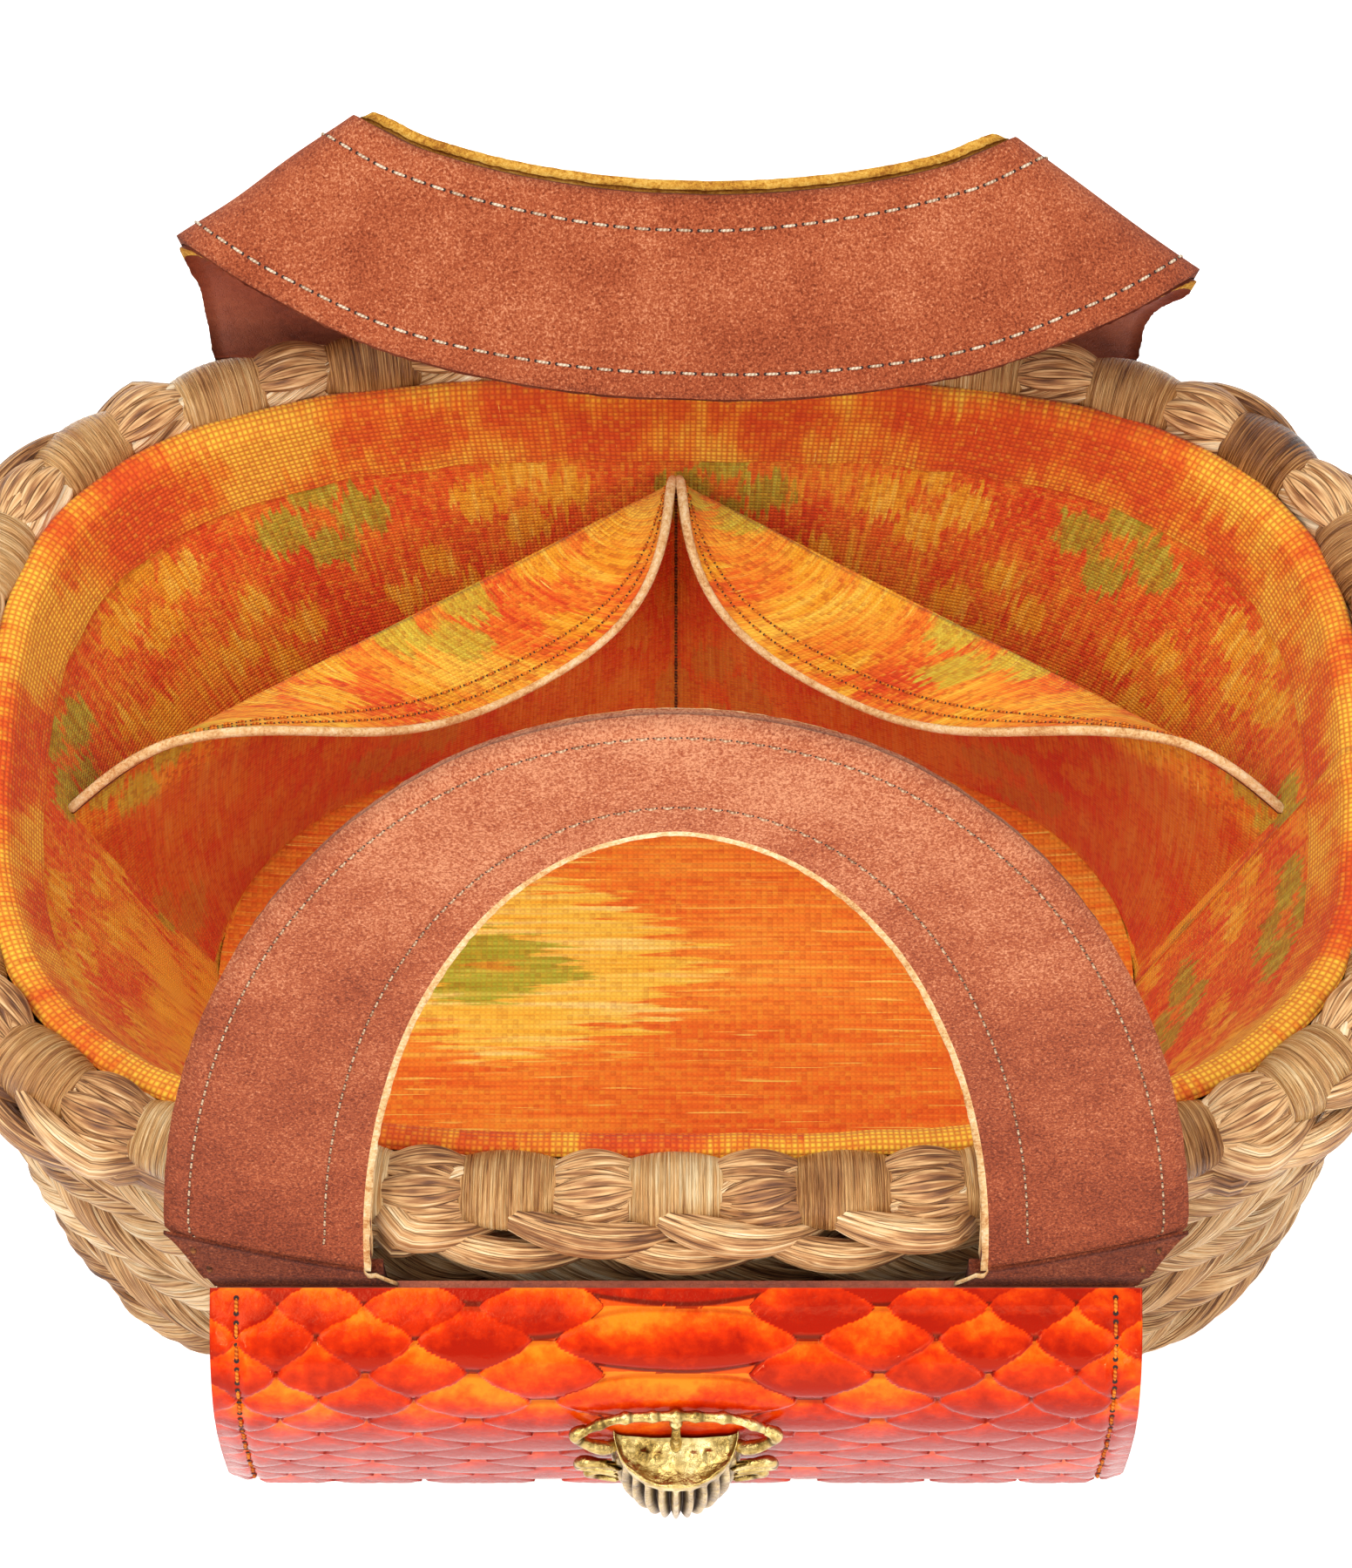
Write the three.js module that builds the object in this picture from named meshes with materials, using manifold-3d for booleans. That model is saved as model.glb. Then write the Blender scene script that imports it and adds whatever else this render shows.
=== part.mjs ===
// A small oval basket bag. Twined rope rows stand on a woven base and carry a wrapped rope rim,
// a fabric lining with a double slip pocket, two arched leather handles and a flap pouch.
// Millimetres, +Z up. The origin is the middle of the base's resting face, the pouch faces -Y.
import * as THREE from 'three';
import { mergeVertices } from 'three/addons/utils/BufferGeometryUtils.js';
import Module from 'manifold-3d';

const wasm = await Module();
wasm.setup();

// Facets round the ovals, and round each rope
const ROPE_SIDES = 8;
const ROW_SEGMENTS = 36;
const BASE_SEGMENTS = 52;
const LINING_SEGMENTS = 48;

// Clearances
const TOUCH_GAP = 0.3;
const SOFT_GAP = 0.5;
const STAKE_GAP = 1;

// Mouth of the bag, inside the lining's top edge
const MOUTH_HALF_WIDTH = 118;
const MOUTH_HALF_DEPTH = 78.3;
const SQUARENESS = 3;

// Rope rim and its wraps
const RIM_HEIGHT = 92;
const RIM_ROPE_RADIUS = 5.6;
const WRAP_THICKNESS = 1;
const WRAP_COUNT = 26;
const STATIONS_PER_WRAP = 3;
const WRAP_STATIONS = [0.7, 1.5, 2.3];

// Twined rows of the wall, from the rim down
const ROW_COUNT = 7;
const ROW_HALF_THICKNESS = 5.5;
const ROW_FOOT_HEIGHT = 1.1;
const TAPER_SIDE = 0.15;
const TAPER_FRONT = 0.1;

// Woven base with the upright stakes that the rows twine round
const BASE_THICKNESS = 8.2;
const STAKE_THICKNESS = 2;
const STAKE_WIDTH = 5;

// Lining
const LINING_THICKNESS = 0.8;
const LINING_RISE = 1;
const HEM_HEIGHT = 16;
const FLOOR_HALF_WIDTH = 85;
const FLOOR_HALF_DEPTH = 54;
const FLOOR_SQUARENESS = 2.3;
const BOARD_THICKNESS = 2.5;

// Slip pocket along the rear wall
const POCKET_THICKNESS = 1.2;
const POCKET_DEPTH = 22;
const POCKET_FOOT_LIFT = 2.5;
const POCKET_REACH = 0.24;
const POCKET_FLOP = 20;
const POCKET_FLOP_TURN = 130;
const POCKET_SLACK_POWER = 0.8;
const POCKET_TRIM_WIDTH = 7;
const POCKET_TRIM_GAP = 0.9;

// Handles, cut as arches
const HANDLE_HALF_WIDTH = 84.3;
const HANDLE_INNER_HALF_WIDTH = 52.1;
const HANDLE_HEIGHT = 144;
const HANDLE_CROWN_BAND = 27;
const HANDLE_LAYER = 1.6;
const HANDLE_LEAN_FOOT = 8;
const HANDLE_LEAN_CROWN = 4;
const CREASE_DROP = 10;
const CREASE_OUT = 8.7;
const CREASE_GAP = 1.4;
const TAB_LENGTH = 17;
const TAB_THICKNESS = 3.2;
const TAB_OVERHANG = 3;

// The rear handle's bent arch, left half, from the crease to the crown: across the bag,
// in front of its crease, and above its crease
const REAR_OUTER = [[84.3, 0, 0], [85, 5, 26], [86, 15, 50], [71, 27, 51.5], [46, 38, 48], [0, 45, 46]];
const REAR_INNER = [[52.1, 0, 0], [53, 1.5, 35], [55, 4, 70.5], [43, 10.5, 71], [25, 16, 70.5], [0, 19, 70]];

// Pouch on the front wall, in its own leaning frame
const POUCH_HALF_WIDTH = 77;
const POUCH_HEIGHT = 56;
const POUCH_DEPTH = 10;
const POUCH_LEATHER = 1.6;
const POUCH_BACK_THICKNESS = 2;
const POUCH_TOP_DROP = 13.5;
const POUCH_MOUTH_DROP = 11;
const POUCH_CORNER = 9;
const POUCH_BACK_OUT = 1.9;
const FLAP_HALF_WIDTH = 78;
const FLAP_LENGTH = 53;
const FLAP_LINING = 1;
const MAGNET_RADIUS = 7;
const MAGNET_THICKNESS = 1.5;
const MAGNET_DROP = 27;

// The flap's profile from its back edge: out from the back panel as a share of the flap's
// reach, and up from the panel's top edge as a share of the flap's length
const FLAP_PROFILE = [
  [0.055, 0.0415], [0.33, 0.019], [0.63, -0.0415], [0.855, -0.1415],
  [0.965, -0.264], [1, -0.415], [0.98, -0.717], [0.91, -1],
];

// Cast brass clasp: a ribbed cup hangs from a bar by a stem, with a curled arm at each side
const CUP_HALF_WIDTH = 10.4;
const CUP_DEPTH = 8.3;
const CUP_HALF_HEIGHT = 17;
const CUP_MIDDLE_DROP = 30;
const CUP_RIM_DROP = 25;
const CUP_WALL = 1.6;
const CUP_HOLLOW = 7;
const CUP_RIBS = 12;
const CUP_GROOVE = 0.09;
const CUP_FULLNESS = 3;
const BAR_RADIUS = 1.3;
const BAR_ROUTE = [[0, -0.5, -8.5], [9.5, -0.2, -9], [16.3, 1.4, -11.5], [13.5, 2.6, -18], [8.5, 3.2, -26]];
const ARM_RADIUS = 1.2;
const ARM_ROUTE = [[8.5, 3.5, -30], [13, 3.5, -25], [16, 3, -25.5], [15.5, 3, -29.5], [9.5, 2.5, -34]];

// Sizes that follow from those above
const wrapRadius = RIM_ROPE_RADIUS + SOFT_GAP + WRAP_THICKNESS;
const rimHalfWidth = MOUTH_HALF_WIDTH + LINING_THICKNESS + SOFT_GAP + wrapRadius;
const rimHalfDepth = MOUTH_HALF_DEPTH + LINING_THICKNESS + SOFT_GAP + wrapRadius;
const rimStations = WRAP_COUNT * STATIONS_PER_WRAP;
const rowsTop = RIM_HEIGHT - wrapRadius - TOUCH_GAP;
const rowPitch = (rowsTop - ROW_FOOT_HEIGHT + TOUCH_GAP) / ROW_COUNT;
const rowHalfHeight = (rowPitch - TOUCH_GAP) / 2;
const stakeFoot = BASE_THICKNESS + TOUCH_GAP;
const boardFoot = stakeFoot + STAKE_THICKNESS + TOUCH_GAP;
const floorFoot = boardFoot + BOARD_THICKNESS + TOUCH_GAP;
const liningTop = RIM_HEIGHT + LINING_RISE;
const pocketTop = RIM_HEIGHT - POCKET_DEPTH;
const pocketFoot = floorFoot + LINING_THICKNESS + POCKET_FOOT_LIFT;
const creaseHeight = RIM_HEIGHT - CREASE_DROP;
const creaseDepth = rimHalfDepth + CREASE_OUT;

// Materials
const rope = (color) => new THREE.MeshStandardMaterial({ color, roughness: 0.75, metalness: 0 });
const straw = rope(0xb98d57);
const wrapFibre = rope(0x8a5a30);
const ikat = new THREE.MeshStandardMaterial({ color: 0xe06a1c, roughness: 0.9, metalness: 0 });
const suede = new THREE.MeshStandardMaterial({ color: 0xb8694c, roughness: 1, metalness: 0 });
const smoothLeather = new THREE.MeshStandardMaterial({ color: 0x9c4a2e, roughness: 0.55, metalness: 0 });
const paleLeather = new THREE.MeshStandardMaterial({ color: 0xe0b070, roughness: 0.7, metalness: 0 });
const scaleLeather = new THREE.MeshStandardMaterial({ color: 0xd8401a, roughness: 0.28, metalness: 0 });
const board = new THREE.MeshStandardMaterial({ color: 0xa89878, roughness: 0.9, metalness: 0 });
const brass = new THREE.MeshStandardMaterial({ color: 0xb08a3c, roughness: 0.35, metalness: 1 });
const steel = new THREE.MeshStandardMaterial({ color: 0x9a9a98, roughness: 0.4, metalness: 1 });

const group = new THREE.Group();

function add(name, geometry, material, parent = group) {
  const mesh = new THREE.Mesh(geometry, material);
  mesh.name = name;
  parent.add(mesh);
  return mesh;
}

// Solids from warped three.js shapes
function facingOut(geometry) {
  const corners = geometry.getAttribute('position');
  const index = geometry.index.array;
  const [a, b, c] = [new THREE.Vector3(), new THREE.Vector3(), new THREE.Vector3()];
  let volume = 0;
  for (let i = 0; i < index.length; i += 3) {
    a.fromBufferAttribute(corners, index[i]);
    b.fromBufferAttribute(corners, index[i + 1]);
    c.fromBufferAttribute(corners, index[i + 2]);
    volume += a.dot(b.cross(c));
  }
  if (volume < 0) {
    for (let i = 0; i < index.length; i += 3) {
      [index[i + 1], index[i + 2]] = [index[i + 2], index[i + 1]];
    }
  }
  return geometry;
}

function merged(geometry) {
  geometry.deleteAttribute('normal');
  geometry.deleteAttribute('uv');
  return facingOut(mergeVertices(geometry, 1e-4));
}

function warped(geometry, place) {
  const position = geometry.getAttribute('position');
  const point = new THREE.Vector3();
  for (let i = 0; i < position.count; i += 1) {
    point.fromBufferAttribute(position, i);
    place(point);
    position.setXYZ(i, point.x, point.y, point.z);
  }
  return merged(geometry);
}

function solid(geometry) {
  return new wasm.Manifold(new wasm.Mesh({
    numProp: 3,
    vertProperties: new Float32Array(geometry.getAttribute('position').array),
    triVerts: new Uint32Array(geometry.index.array),
  }));
}

function meshOf(manifold) {
  const mesh = manifold.getMesh();
  const geometry = new THREE.BufferGeometry();
  geometry.setAttribute('position', new THREE.BufferAttribute(mesh.vertProperties, 3));
  geometry.setIndex(new THREE.BufferAttribute(mesh.triVerts, 1));
  return geometry;
}

// Oval paths, superellipses measured by arc length, offset along their outward normal
const signedPower = (value, power) => Math.sign(value) * Math.abs(value) ** power;

class Oval extends THREE.Curve {
  constructor(halfWidth, halfDepth, squareness) {
    super();
    this.arcLengthDivisions = 720;
    this.halfWidth = halfWidth;
    this.halfDepth = halfDepth;
    this.power = 2 / squareness;
  }

  getPoint(t, target = new THREE.Vector3()) {
    const angle = 2 * Math.PI * t;
    const x = this.halfWidth * signedPower(Math.cos(angle), this.power);
    const y = this.halfDepth * signedPower(Math.sin(angle), this.power);
    return target.set(x, y, 0);
  }

  at(turn, out) {
    const u = ((turn % 1) + 1) % 1;
    const point = this.getPointAt(u);
    const along = this.getTangentAt(u);
    return point.add(new THREE.Vector3(along.y, -along.x, 0).multiplyScalar(out));
  }
}

const turnOf = (x, y) => Math.atan2(y, x) / (2 * Math.PI);

const rowPath = (height) => new Oval(
  rimHalfWidth - TAPER_SIDE * (RIM_HEIGHT - height),
  rimHalfDepth - TAPER_FRONT * (RIM_HEIGHT - height),
  SQUARENESS,
);

function liningPath(height) {
  const share = THREE.MathUtils.clamp((liningTop - height) / (liningTop - floorFoot), 0, 1);
  return new Oval(
    THREE.MathUtils.lerp(MOUTH_HALF_WIDTH, FLOOR_HALF_WIDTH, share),
    THREE.MathUtils.lerp(MOUTH_HALF_DEPTH, FLOOR_HALF_DEPTH, share),
    THREE.MathUtils.lerp(SQUARENESS, FLOOR_SQUARENESS, share),
  );
}

const RING_RADIUS = 10;

function ring(path, height, halfThickness, halfHeight, segments) {
  const torus = new THREE.TorusGeometry(RING_RADIUS, 1, ROPE_SIDES, segments);
  return warped(torus, (p) => {
    const out = Math.hypot(p.x, p.y) - RING_RADIUS;
    const at = path.at(turnOf(p.x, p.y), out * halfThickness);
    p.set(at.x, at.y, height + p.z * halfHeight);
  });
}

function slab(path, out, foot, thickness, segments) {
  const disc = new THREE.CylinderGeometry(1, 1, thickness, segments).rotateX(Math.PI / 2);
  return warped(disc, (p) => {
    const reach = Math.hypot(p.x, p.y);
    const at = path.at(turnOf(p.x, p.y), out).multiplyScalar(Math.round(reach));
    p.set(at.x, at.y, foot + thickness / 2 + p.z);
  });
}

// A sheet of even thickness over a surface point(u, v), moved out along its normal by lift
const STEP = 1e-3;

function normalOf(point, u, v) {
  const [u0, v0] = [Math.min(u, 1 - STEP), Math.min(v, 1 - STEP)];
  const across = point(u0 + STEP, v).sub(point(u0, v));
  const up = point(u, v0 + STEP).sub(point(u, v0));
  return across.cross(up).normalize();
}

function sheet(point, uSteps, vSteps, thickness, lift = 0) {
  const box = new THREE.BoxGeometry(1, 1, 1, uSteps, vSteps, 1);
  return warped(box, (p) => {
    const [u, v] = [p.x + 0.5, p.y + 0.5];
    const out = p.z * thickness + lift;
    p.copy(point(u, v)).addScaledVector(normalOf(point, u, v), out);
  });
}

// Rope rim, its wraps and the rows below it
function addRim() {
  const path = rowPath(RIM_HEIGHT);
  add('rim_rope', ring(path, RIM_HEIGHT, RIM_ROPE_RADIUS, RIM_ROPE_RADIUS, rimStations), straw);
  const inner = RIM_ROPE_RADIUS + SOFT_GAP;
  const profile = [
    ...WRAP_STATIONS.map((station) => new THREE.Vector2(wrapRadius, station)),
    ...WRAP_STATIONS.toReversed().map((station) => new THREE.Vector2(inner, station)),
    new THREE.Vector2(wrapRadius, WRAP_STATIONS[0]),
  ];
  for (let k = 0; k < WRAP_COUNT; k += 1) {
    const sleeve = new THREE.LatheGeometry(profile, ROPE_SIDES);
    const geometry = warped(sleeve, (p) => {
      const station = k * STATIONS_PER_WRAP + p.y;
      const before = Math.floor(station);
      const at = path.at(before / rimStations, p.x);
      at.lerp(path.at((before + 1) / rimStations, p.x), station - before);
      p.set(at.x, at.y, RIM_HEIGHT + p.z);
    });
    add(`rim_wrap_${k + 1}`, geometry, wrapFibre);
  }
}

function addRows() {
  for (let k = 0; k < ROW_COUNT; k += 1) {
    const height = rowsTop - rowHalfHeight - k * rowPitch;
    const geometry = ring(rowPath(height), height, ROW_HALF_THICKNESS, rowHalfHeight, ROW_SEGMENTS);
    add(`wall_row_${k + 1}`, geometry, straw);
  }
}

// Woven base, and the stakes that turn up from it behind the rows
function addBase() {
  const inset = -(ROW_HALF_THICKNESS + STAKE_GAP);
  const foot = rowPath(0);
  add('base_mat', slab(foot, inset, 0, BASE_THICKNESS, BASE_SEGMENTS), straw);
  const stakeTop = rowsTop - TOUCH_GAP;
  const pieces = [slab(foot, inset, stakeFoot, STAKE_THICKNESS, BASE_SEGMENTS)];
  for (let k = 0; k < WRAP_COUNT; k += 1) {
    const turn = (k * STATIONS_PER_WRAP + WRAP_STATIONS[1]) / rimStations;
    const ends = [rowPath(stakeFoot), rowPath(stakeTop)].map((path) => ({
      centre: path.at(turn, inset - STAKE_THICKNESS / 2),
      along: path.getTangentAt(turn),
    }));
    const stake = new THREE.BoxGeometry(STAKE_WIDTH, STAKE_THICKNESS, 1);
    pieces.push(warped(stake, (p) => {
      const share = p.z + 0.5;
      const centre = ends[0].centre.clone().lerp(ends[1].centre, share);
      const along = ends[0].along;
      const [x, y] = [p.x, p.y];
      p.set(centre.x + along.x * x - along.y * y, centre.y + along.y * x + along.x * y, 0);
      p.z = THREE.MathUtils.lerp(stakeFoot, stakeTop, share);
    }));
  }
  const frame = pieces.map(solid).reduce((all, next) => all.add(next));
  add('stake_frame', meshOf(frame), straw);
}

// Lining: wall, folded hem, stiffened floor
function band(foot, top, out, steps) {
  const heights = Array.from({ length: steps + 1 }, (_, i) => THREE.MathUtils.lerp(foot, top, i / steps));
  const [outer, inner] = [RING_RADIUS + 1, RING_RADIUS];
  const profile = [
    ...heights.map((height) => new THREE.Vector2(outer, height)),
    ...heights.toReversed().map((height) => new THREE.Vector2(inner, height)),
    new THREE.Vector2(outer, foot),
  ];
  const lathe = new THREE.LatheGeometry(profile, LINING_SEGMENTS).rotateX(Math.PI / 2);
  return warped(lathe, (p) => {
    const share = Math.hypot(p.x, p.y) - RING_RADIUS;
    const at = liningPath(p.z).at(turnOf(p.x, p.y), out + share * LINING_THICKNESS);
    p.set(at.x, at.y, p.z);
  });
}

function addLining() {
  add('lining_wall', band(floorFoot, liningTop, 0, 5), ikat);
  const hemOut = -(LINING_THICKNESS + SOFT_GAP);
  add('lining_hem', band(liningTop - HEM_HEIGHT, liningTop, hemOut, 2), ikat);
  const floor = liningPath(floorFoot);
  add('floor_board', slab(floor, -SOFT_GAP, boardFoot, BOARD_THICKNESS, LINING_SEGMENTS), board);
  add('floor_lining', slab(floor, -SOFT_GAP, floorFoot, LINING_THICKNESS, LINING_SEGMENTS), ikat);
}

// Slip pocket: it hangs from the middle seam and both ends, and its slack edge flops forward.
// across runs from -1 to 1, fromEdge is the distance down from the free edge.
const REAR_TURN = 0.25;
const pocketOut = -(SOFT_GAP + POCKET_THICKNESS);
const pocketTopPath = liningPath(pocketTop);
const pocketFootPath = liningPath(pocketFoot);

function pocketStations(across) {
  const share = Math.abs(across);
  const side = Math.sign(across) || 1;
  const foot = pocketFootPath.at(REAR_TURN - across * POCKET_REACH, pocketOut).setZ(pocketFoot);
  const middle = pocketTopPath.at(REAR_TURN, pocketOut);
  const end = pocketTopPath.at(REAR_TURN - side * POCKET_REACH, pocketOut);
  const fold = middle.clone().lerp(end, share).setZ(pocketTop);
  const chord = end.sub(middle).normalize();
  const inward = new THREE.Vector3(side * chord.y, -side * chord.x, 0);
  const slack = Math.sin(Math.PI * share) ** POCKET_SLACK_POWER;
  const turn = THREE.MathUtils.degToRad(POCKET_FLOP_TURN) * slack;
  const edge = fold.clone().addScaledVector(inward, POCKET_FLOP * slack * Math.sin(turn));
  edge.z += POCKET_FLOP * slack * Math.cos(turn);
  return { foot, fold, edge, flop: POCKET_FLOP * slack };
}

function pocketPoint(across, fromEdge) {
  const { foot, fold, edge, flop } = pocketStations(across);
  if (fromEdge < flop) {
    return edge.lerp(fold, fromEdge / flop);
  }
  return fold.lerp(foot, (fromEdge - flop) / fold.distanceTo(foot));
}

function addPocket() {
  const panelTop = POCKET_TRIM_WIDTH + POCKET_TRIM_GAP;
  const panel = (u, v) => {
    const across = 2 * u - 1;
    const { foot, fold, flop } = pocketStations(across);
    return pocketPoint(across, THREE.MathUtils.lerp(fold.distanceTo(foot) + flop, panelTop, v));
  };
  const trim = (u, v) => pocketPoint(2 * u - 1, THREE.MathUtils.lerp(POCKET_TRIM_WIDTH, 0, v));
  add('pocket_panel', sheet(panel, 28, 7, POCKET_THICKNESS), ikat);
  add('pocket_trim', sheet(trim, 28, 2, POCKET_THICKNESS), paleLeather);
}

// Handles: two leather layers each, and a sewn tab below every leg
const layerLift = (HANDLE_LAYER + SOFT_GAP) / 2;
const legFoot = creaseHeight + CREASE_GAP;

function frontArch(u, v) {
  const angle = Math.PI * u;
  const halfWidth = THREE.MathUtils.lerp(HANDLE_INNER_HALF_WIDTH, HANDLE_HALF_WIDTH, v);
  const rise = Math.sin(angle) * THREE.MathUtils.lerp(HANDLE_HEIGHT - HANDLE_CROWN_BAND, HANDLE_HEIGHT, v);
  const from = THREE.MathUtils.degToRad(HANDLE_LEAN_FOOT);
  const to = THREE.MathUtils.degToRad(HANDLE_LEAN_CROWN);
  const bend = HANDLE_HEIGHT / (to - from);
  const lean = from + rise / bend;
  return new THREE.Vector3(
    -halfWidth * Math.cos(angle),
    -creaseDepth + bend * (Math.cos(from) - Math.cos(lean)),
    legFoot + bend * (Math.sin(lean) - Math.sin(from)),
  );
}

function archCurve(half) {
  const left = half.map(([across, inward, up]) => (
    new THREE.Vector3(-across, creaseDepth - inward, legFoot + up)
  ));
  const right = left.slice(0, -1).toReversed().map((p) => new THREE.Vector3(-p.x, p.y, p.z));
  return new THREE.CatmullRomCurve3([...left, ...right]);
}

function addHandles() {
  add('front_handle_suede', sheet(frontArch, 32, 2, HANDLE_LAYER, layerLift), suede);
  add('front_handle_lining', sheet(frontArch, 32, 2, HANDLE_LAYER, -layerLift), smoothLeather);
  const outer = archCurve(REAR_OUTER);
  const inner = archCurve(REAR_INNER);
  const rearArch = (u, v) => inner.getPoint(u).lerp(outer.getPoint(u), v);
  add('rear_handle_suede', sheet(rearArch, 44, 4, HANDLE_LAYER, -layerLift), suede);
  add('rear_handle_lining', sheet(rearArch, 44, 4, HANDLE_LAYER, layerLift), smoothLeather);
}

function wallDepth(x, height) {
  const path = rowPath(height);
  const share = Math.abs(x / path.halfWidth) ** SQUARENESS;
  return path.halfDepth * (1 - share) ** (1 / SQUARENESS) + ROW_HALF_THICKNESS;
}

function addTabs() {
  const nearX = HANDLE_INNER_HALF_WIDTH - TAB_OVERHANG;
  const farX = HANDLE_HALF_WIDTH + TAB_OVERHANG;
  const footHeight = creaseHeight - TAB_LENGTH;
  const footDepth = wallDepth(nearX, footHeight) + SOFT_GAP + TAB_THICKNESS / 2;
  for (const [end, away] of [['front', -1], ['rear', 1]]) {
    for (const [side, across] of [['left', -1], ['right', 1]]) {
      const tab = (u, v) => new THREE.Vector3(
        across * THREE.MathUtils.lerp(nearX, farX, u),
        away * THREE.MathUtils.lerp(footDepth, creaseDepth, v),
        THREE.MathUtils.lerp(footHeight, creaseHeight, v),
      );
      add(`${end}_tab_${side}`, sheet(tab, 2, 2, TAB_THICKNESS), suede);
    }
  }
}

// Pouch: its frame leans so that its foot lies against the wall. In it, -Y points out of the
// wall, and z falls from the back panel's top edge.
const pouchTop = RIM_HEIGHT - POUCH_TOP_DROP;
const pouchBackDepth = creaseDepth + POUCH_BACK_OUT;
const pouchFootDepth = wallDepth(0, pouchTop - POUCH_HEIGHT) + SOFT_GAP + POUCH_BACK_THICKNESS / 2;
const pouchLean = Math.asin((pouchBackDepth - pouchFootDepth) / POUCH_HEIGHT);
const gussetBack = POUCH_BACK_THICKNESS / 2 + TOUCH_GAP;
const panelBack = gussetBack + POUCH_DEPTH + TOUCH_GAP;
const panelFront = panelBack + POUCH_LEATHER;
const magnetStack = 2 * MAGNET_THICKNESS + 3 * TOUCH_GAP;
const flapFace = panelFront + magnetStack + FLAP_LINING + TOUCH_GAP / 2;

const plate = (halfWidth, top, foot, back, thickness) => {
  const box = new THREE.BoxGeometry(2 * halfWidth, thickness, top - foot);
  return merged(box.translate(0, -(back + thickness / 2), (top + foot) / 2));
};

const puck = (radius, thickness, back, height) => {
  const round = new THREE.CylinderGeometry(radius, radius, thickness, 24);
  return merged(round.translate(0, -(back + thickness / 2), height));
};

function addPouch(frame) {
  const back = plate(POUCH_HALF_WIDTH, 0, -POUCH_HEIGHT, -POUCH_BACK_THICKNESS / 2, POUCH_BACK_THICKNESS);
  add('pouch_back', back, smoothLeather, frame);
  const front = plate(POUCH_HALF_WIDTH, -POUCH_MOUTH_DROP, -POUCH_HEIGHT, panelBack, POUCH_LEATHER);
  add('pouch_front', front, scaleLeather, frame);
  const side = POUCH_HALF_WIDTH - POUCH_LEATHER / 2;
  const foot = -POUCH_HEIGHT + POUCH_LEATHER / 2;
  const turnHeight = foot + POUCH_CORNER;
  const outline = new THREE.Path().moveTo(-side, -POUCH_MOUTH_DROP);
  outline.lineTo(-side, turnHeight);
  outline.absarc(-side + POUCH_CORNER, turnHeight, POUCH_CORNER, Math.PI, 1.5 * Math.PI);
  outline.lineTo(side - POUCH_CORNER, foot);
  outline.absarc(side - POUCH_CORNER, turnHeight, POUCH_CORNER, 1.5 * Math.PI, 2 * Math.PI);
  outline.lineTo(side, -POUCH_MOUTH_DROP);
  const gusset = (u, v) => {
    const at = outline.getPointAt(u);
    return new THREE.Vector3(at.x, -(gussetBack + v * POUCH_DEPTH), at.y);
  };
  add('pouch_gusset', sheet(gusset, 32, 1, POUCH_LEATHER), scaleLeather, frame);
  const catchPlate = puck(MAGNET_RADIUS, MAGNET_THICKNESS, panelFront + TOUCH_GAP, -MAGNET_DROP);
  add('catch_plate', catchPlate, steel, frame);
}

// The flap turns on its back edge, above the back panel
const flapProfile = new THREE.CatmullRomCurve3(
  FLAP_PROFILE.map(([out, up]) => new THREE.Vector3(0, -out * flapFace, up * FLAP_LENGTH)),
);

function addFlap(frame) {
  const flap = (u, v) => {
    const at = flapProfile.getPoint(1 - v);
    return new THREE.Vector3((2 * u - 1) * FLAP_HALF_WIDTH, at.y, at.z);
  };
  const lift = TOUCH_GAP / 2;
  add('flap_scales', sheet(flap, 2, 16, POUCH_LEATHER, lift + POUCH_LEATHER / 2), scaleLeather, frame);
  add('flap_lining', sheet(flap, 2, 16, FLAP_LINING, -(lift + FLAP_LINING / 2)), smoothLeather, frame);
  const magnetBack = panelFront + 2 * TOUCH_GAP + MAGNET_THICKNESS;
  add('flap_magnet', puck(MAGNET_RADIUS, MAGNET_THICKNESS, magnetBack, -MAGNET_DROP), steel, frame);
}

// Clasp on the flap. Its cup is cut off at the rim, hollowed, and flat where it meets the flap.
const claspBack = flapFace + TOUCH_GAP / 2 + POUCH_LEATHER + TOUCH_GAP;

function cup(inset, grooved) {
  const ball = new THREE.SphereGeometry(1, 4 * CUP_RIBS, 10).rotateX(Math.PI / 2);
  return warped(ball, (p) => {
    const level = THREE.MathUtils.clamp(p.z, -1, 1);
    const reach = (1 - Math.abs(level) ** CUP_FULLNESS) ** (1 / CUP_FULLNESS);
    const turn = Math.atan2(p.y, p.x);
    const groove = grooved * CUP_GROOVE * Math.cos(CUP_RIBS * turn) ** 2;
    p.x = Math.cos(turn) * (1 - groove) * reach * (CUP_HALF_WIDTH - inset);
    p.y = -claspBack + Math.sin(turn) * (1 - groove) * reach * (CUP_DEPTH - inset);
    p.z = -CUP_MIDDLE_DROP + level * (CUP_HALF_HEIGHT - inset);
  });
}

function rod(route, radius) {
  const points = route.map(([x, out, up]) => new THREE.Vector3(x, -claspBack - out, up));
  const path = new THREE.CatmullRomCurve3(points);
  const section = new THREE.Shape().absarc(0, 0, radius, 0, 2 * Math.PI);
  const steps = 4 * route.length;
  return merged(new THREE.ExtrudeGeometry(section, { steps, extrudePath: path, curveSegments: 4 }));
}

const mirrored = (route) => route.map(([x, out, up]) => [-x, out, up]);

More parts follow.
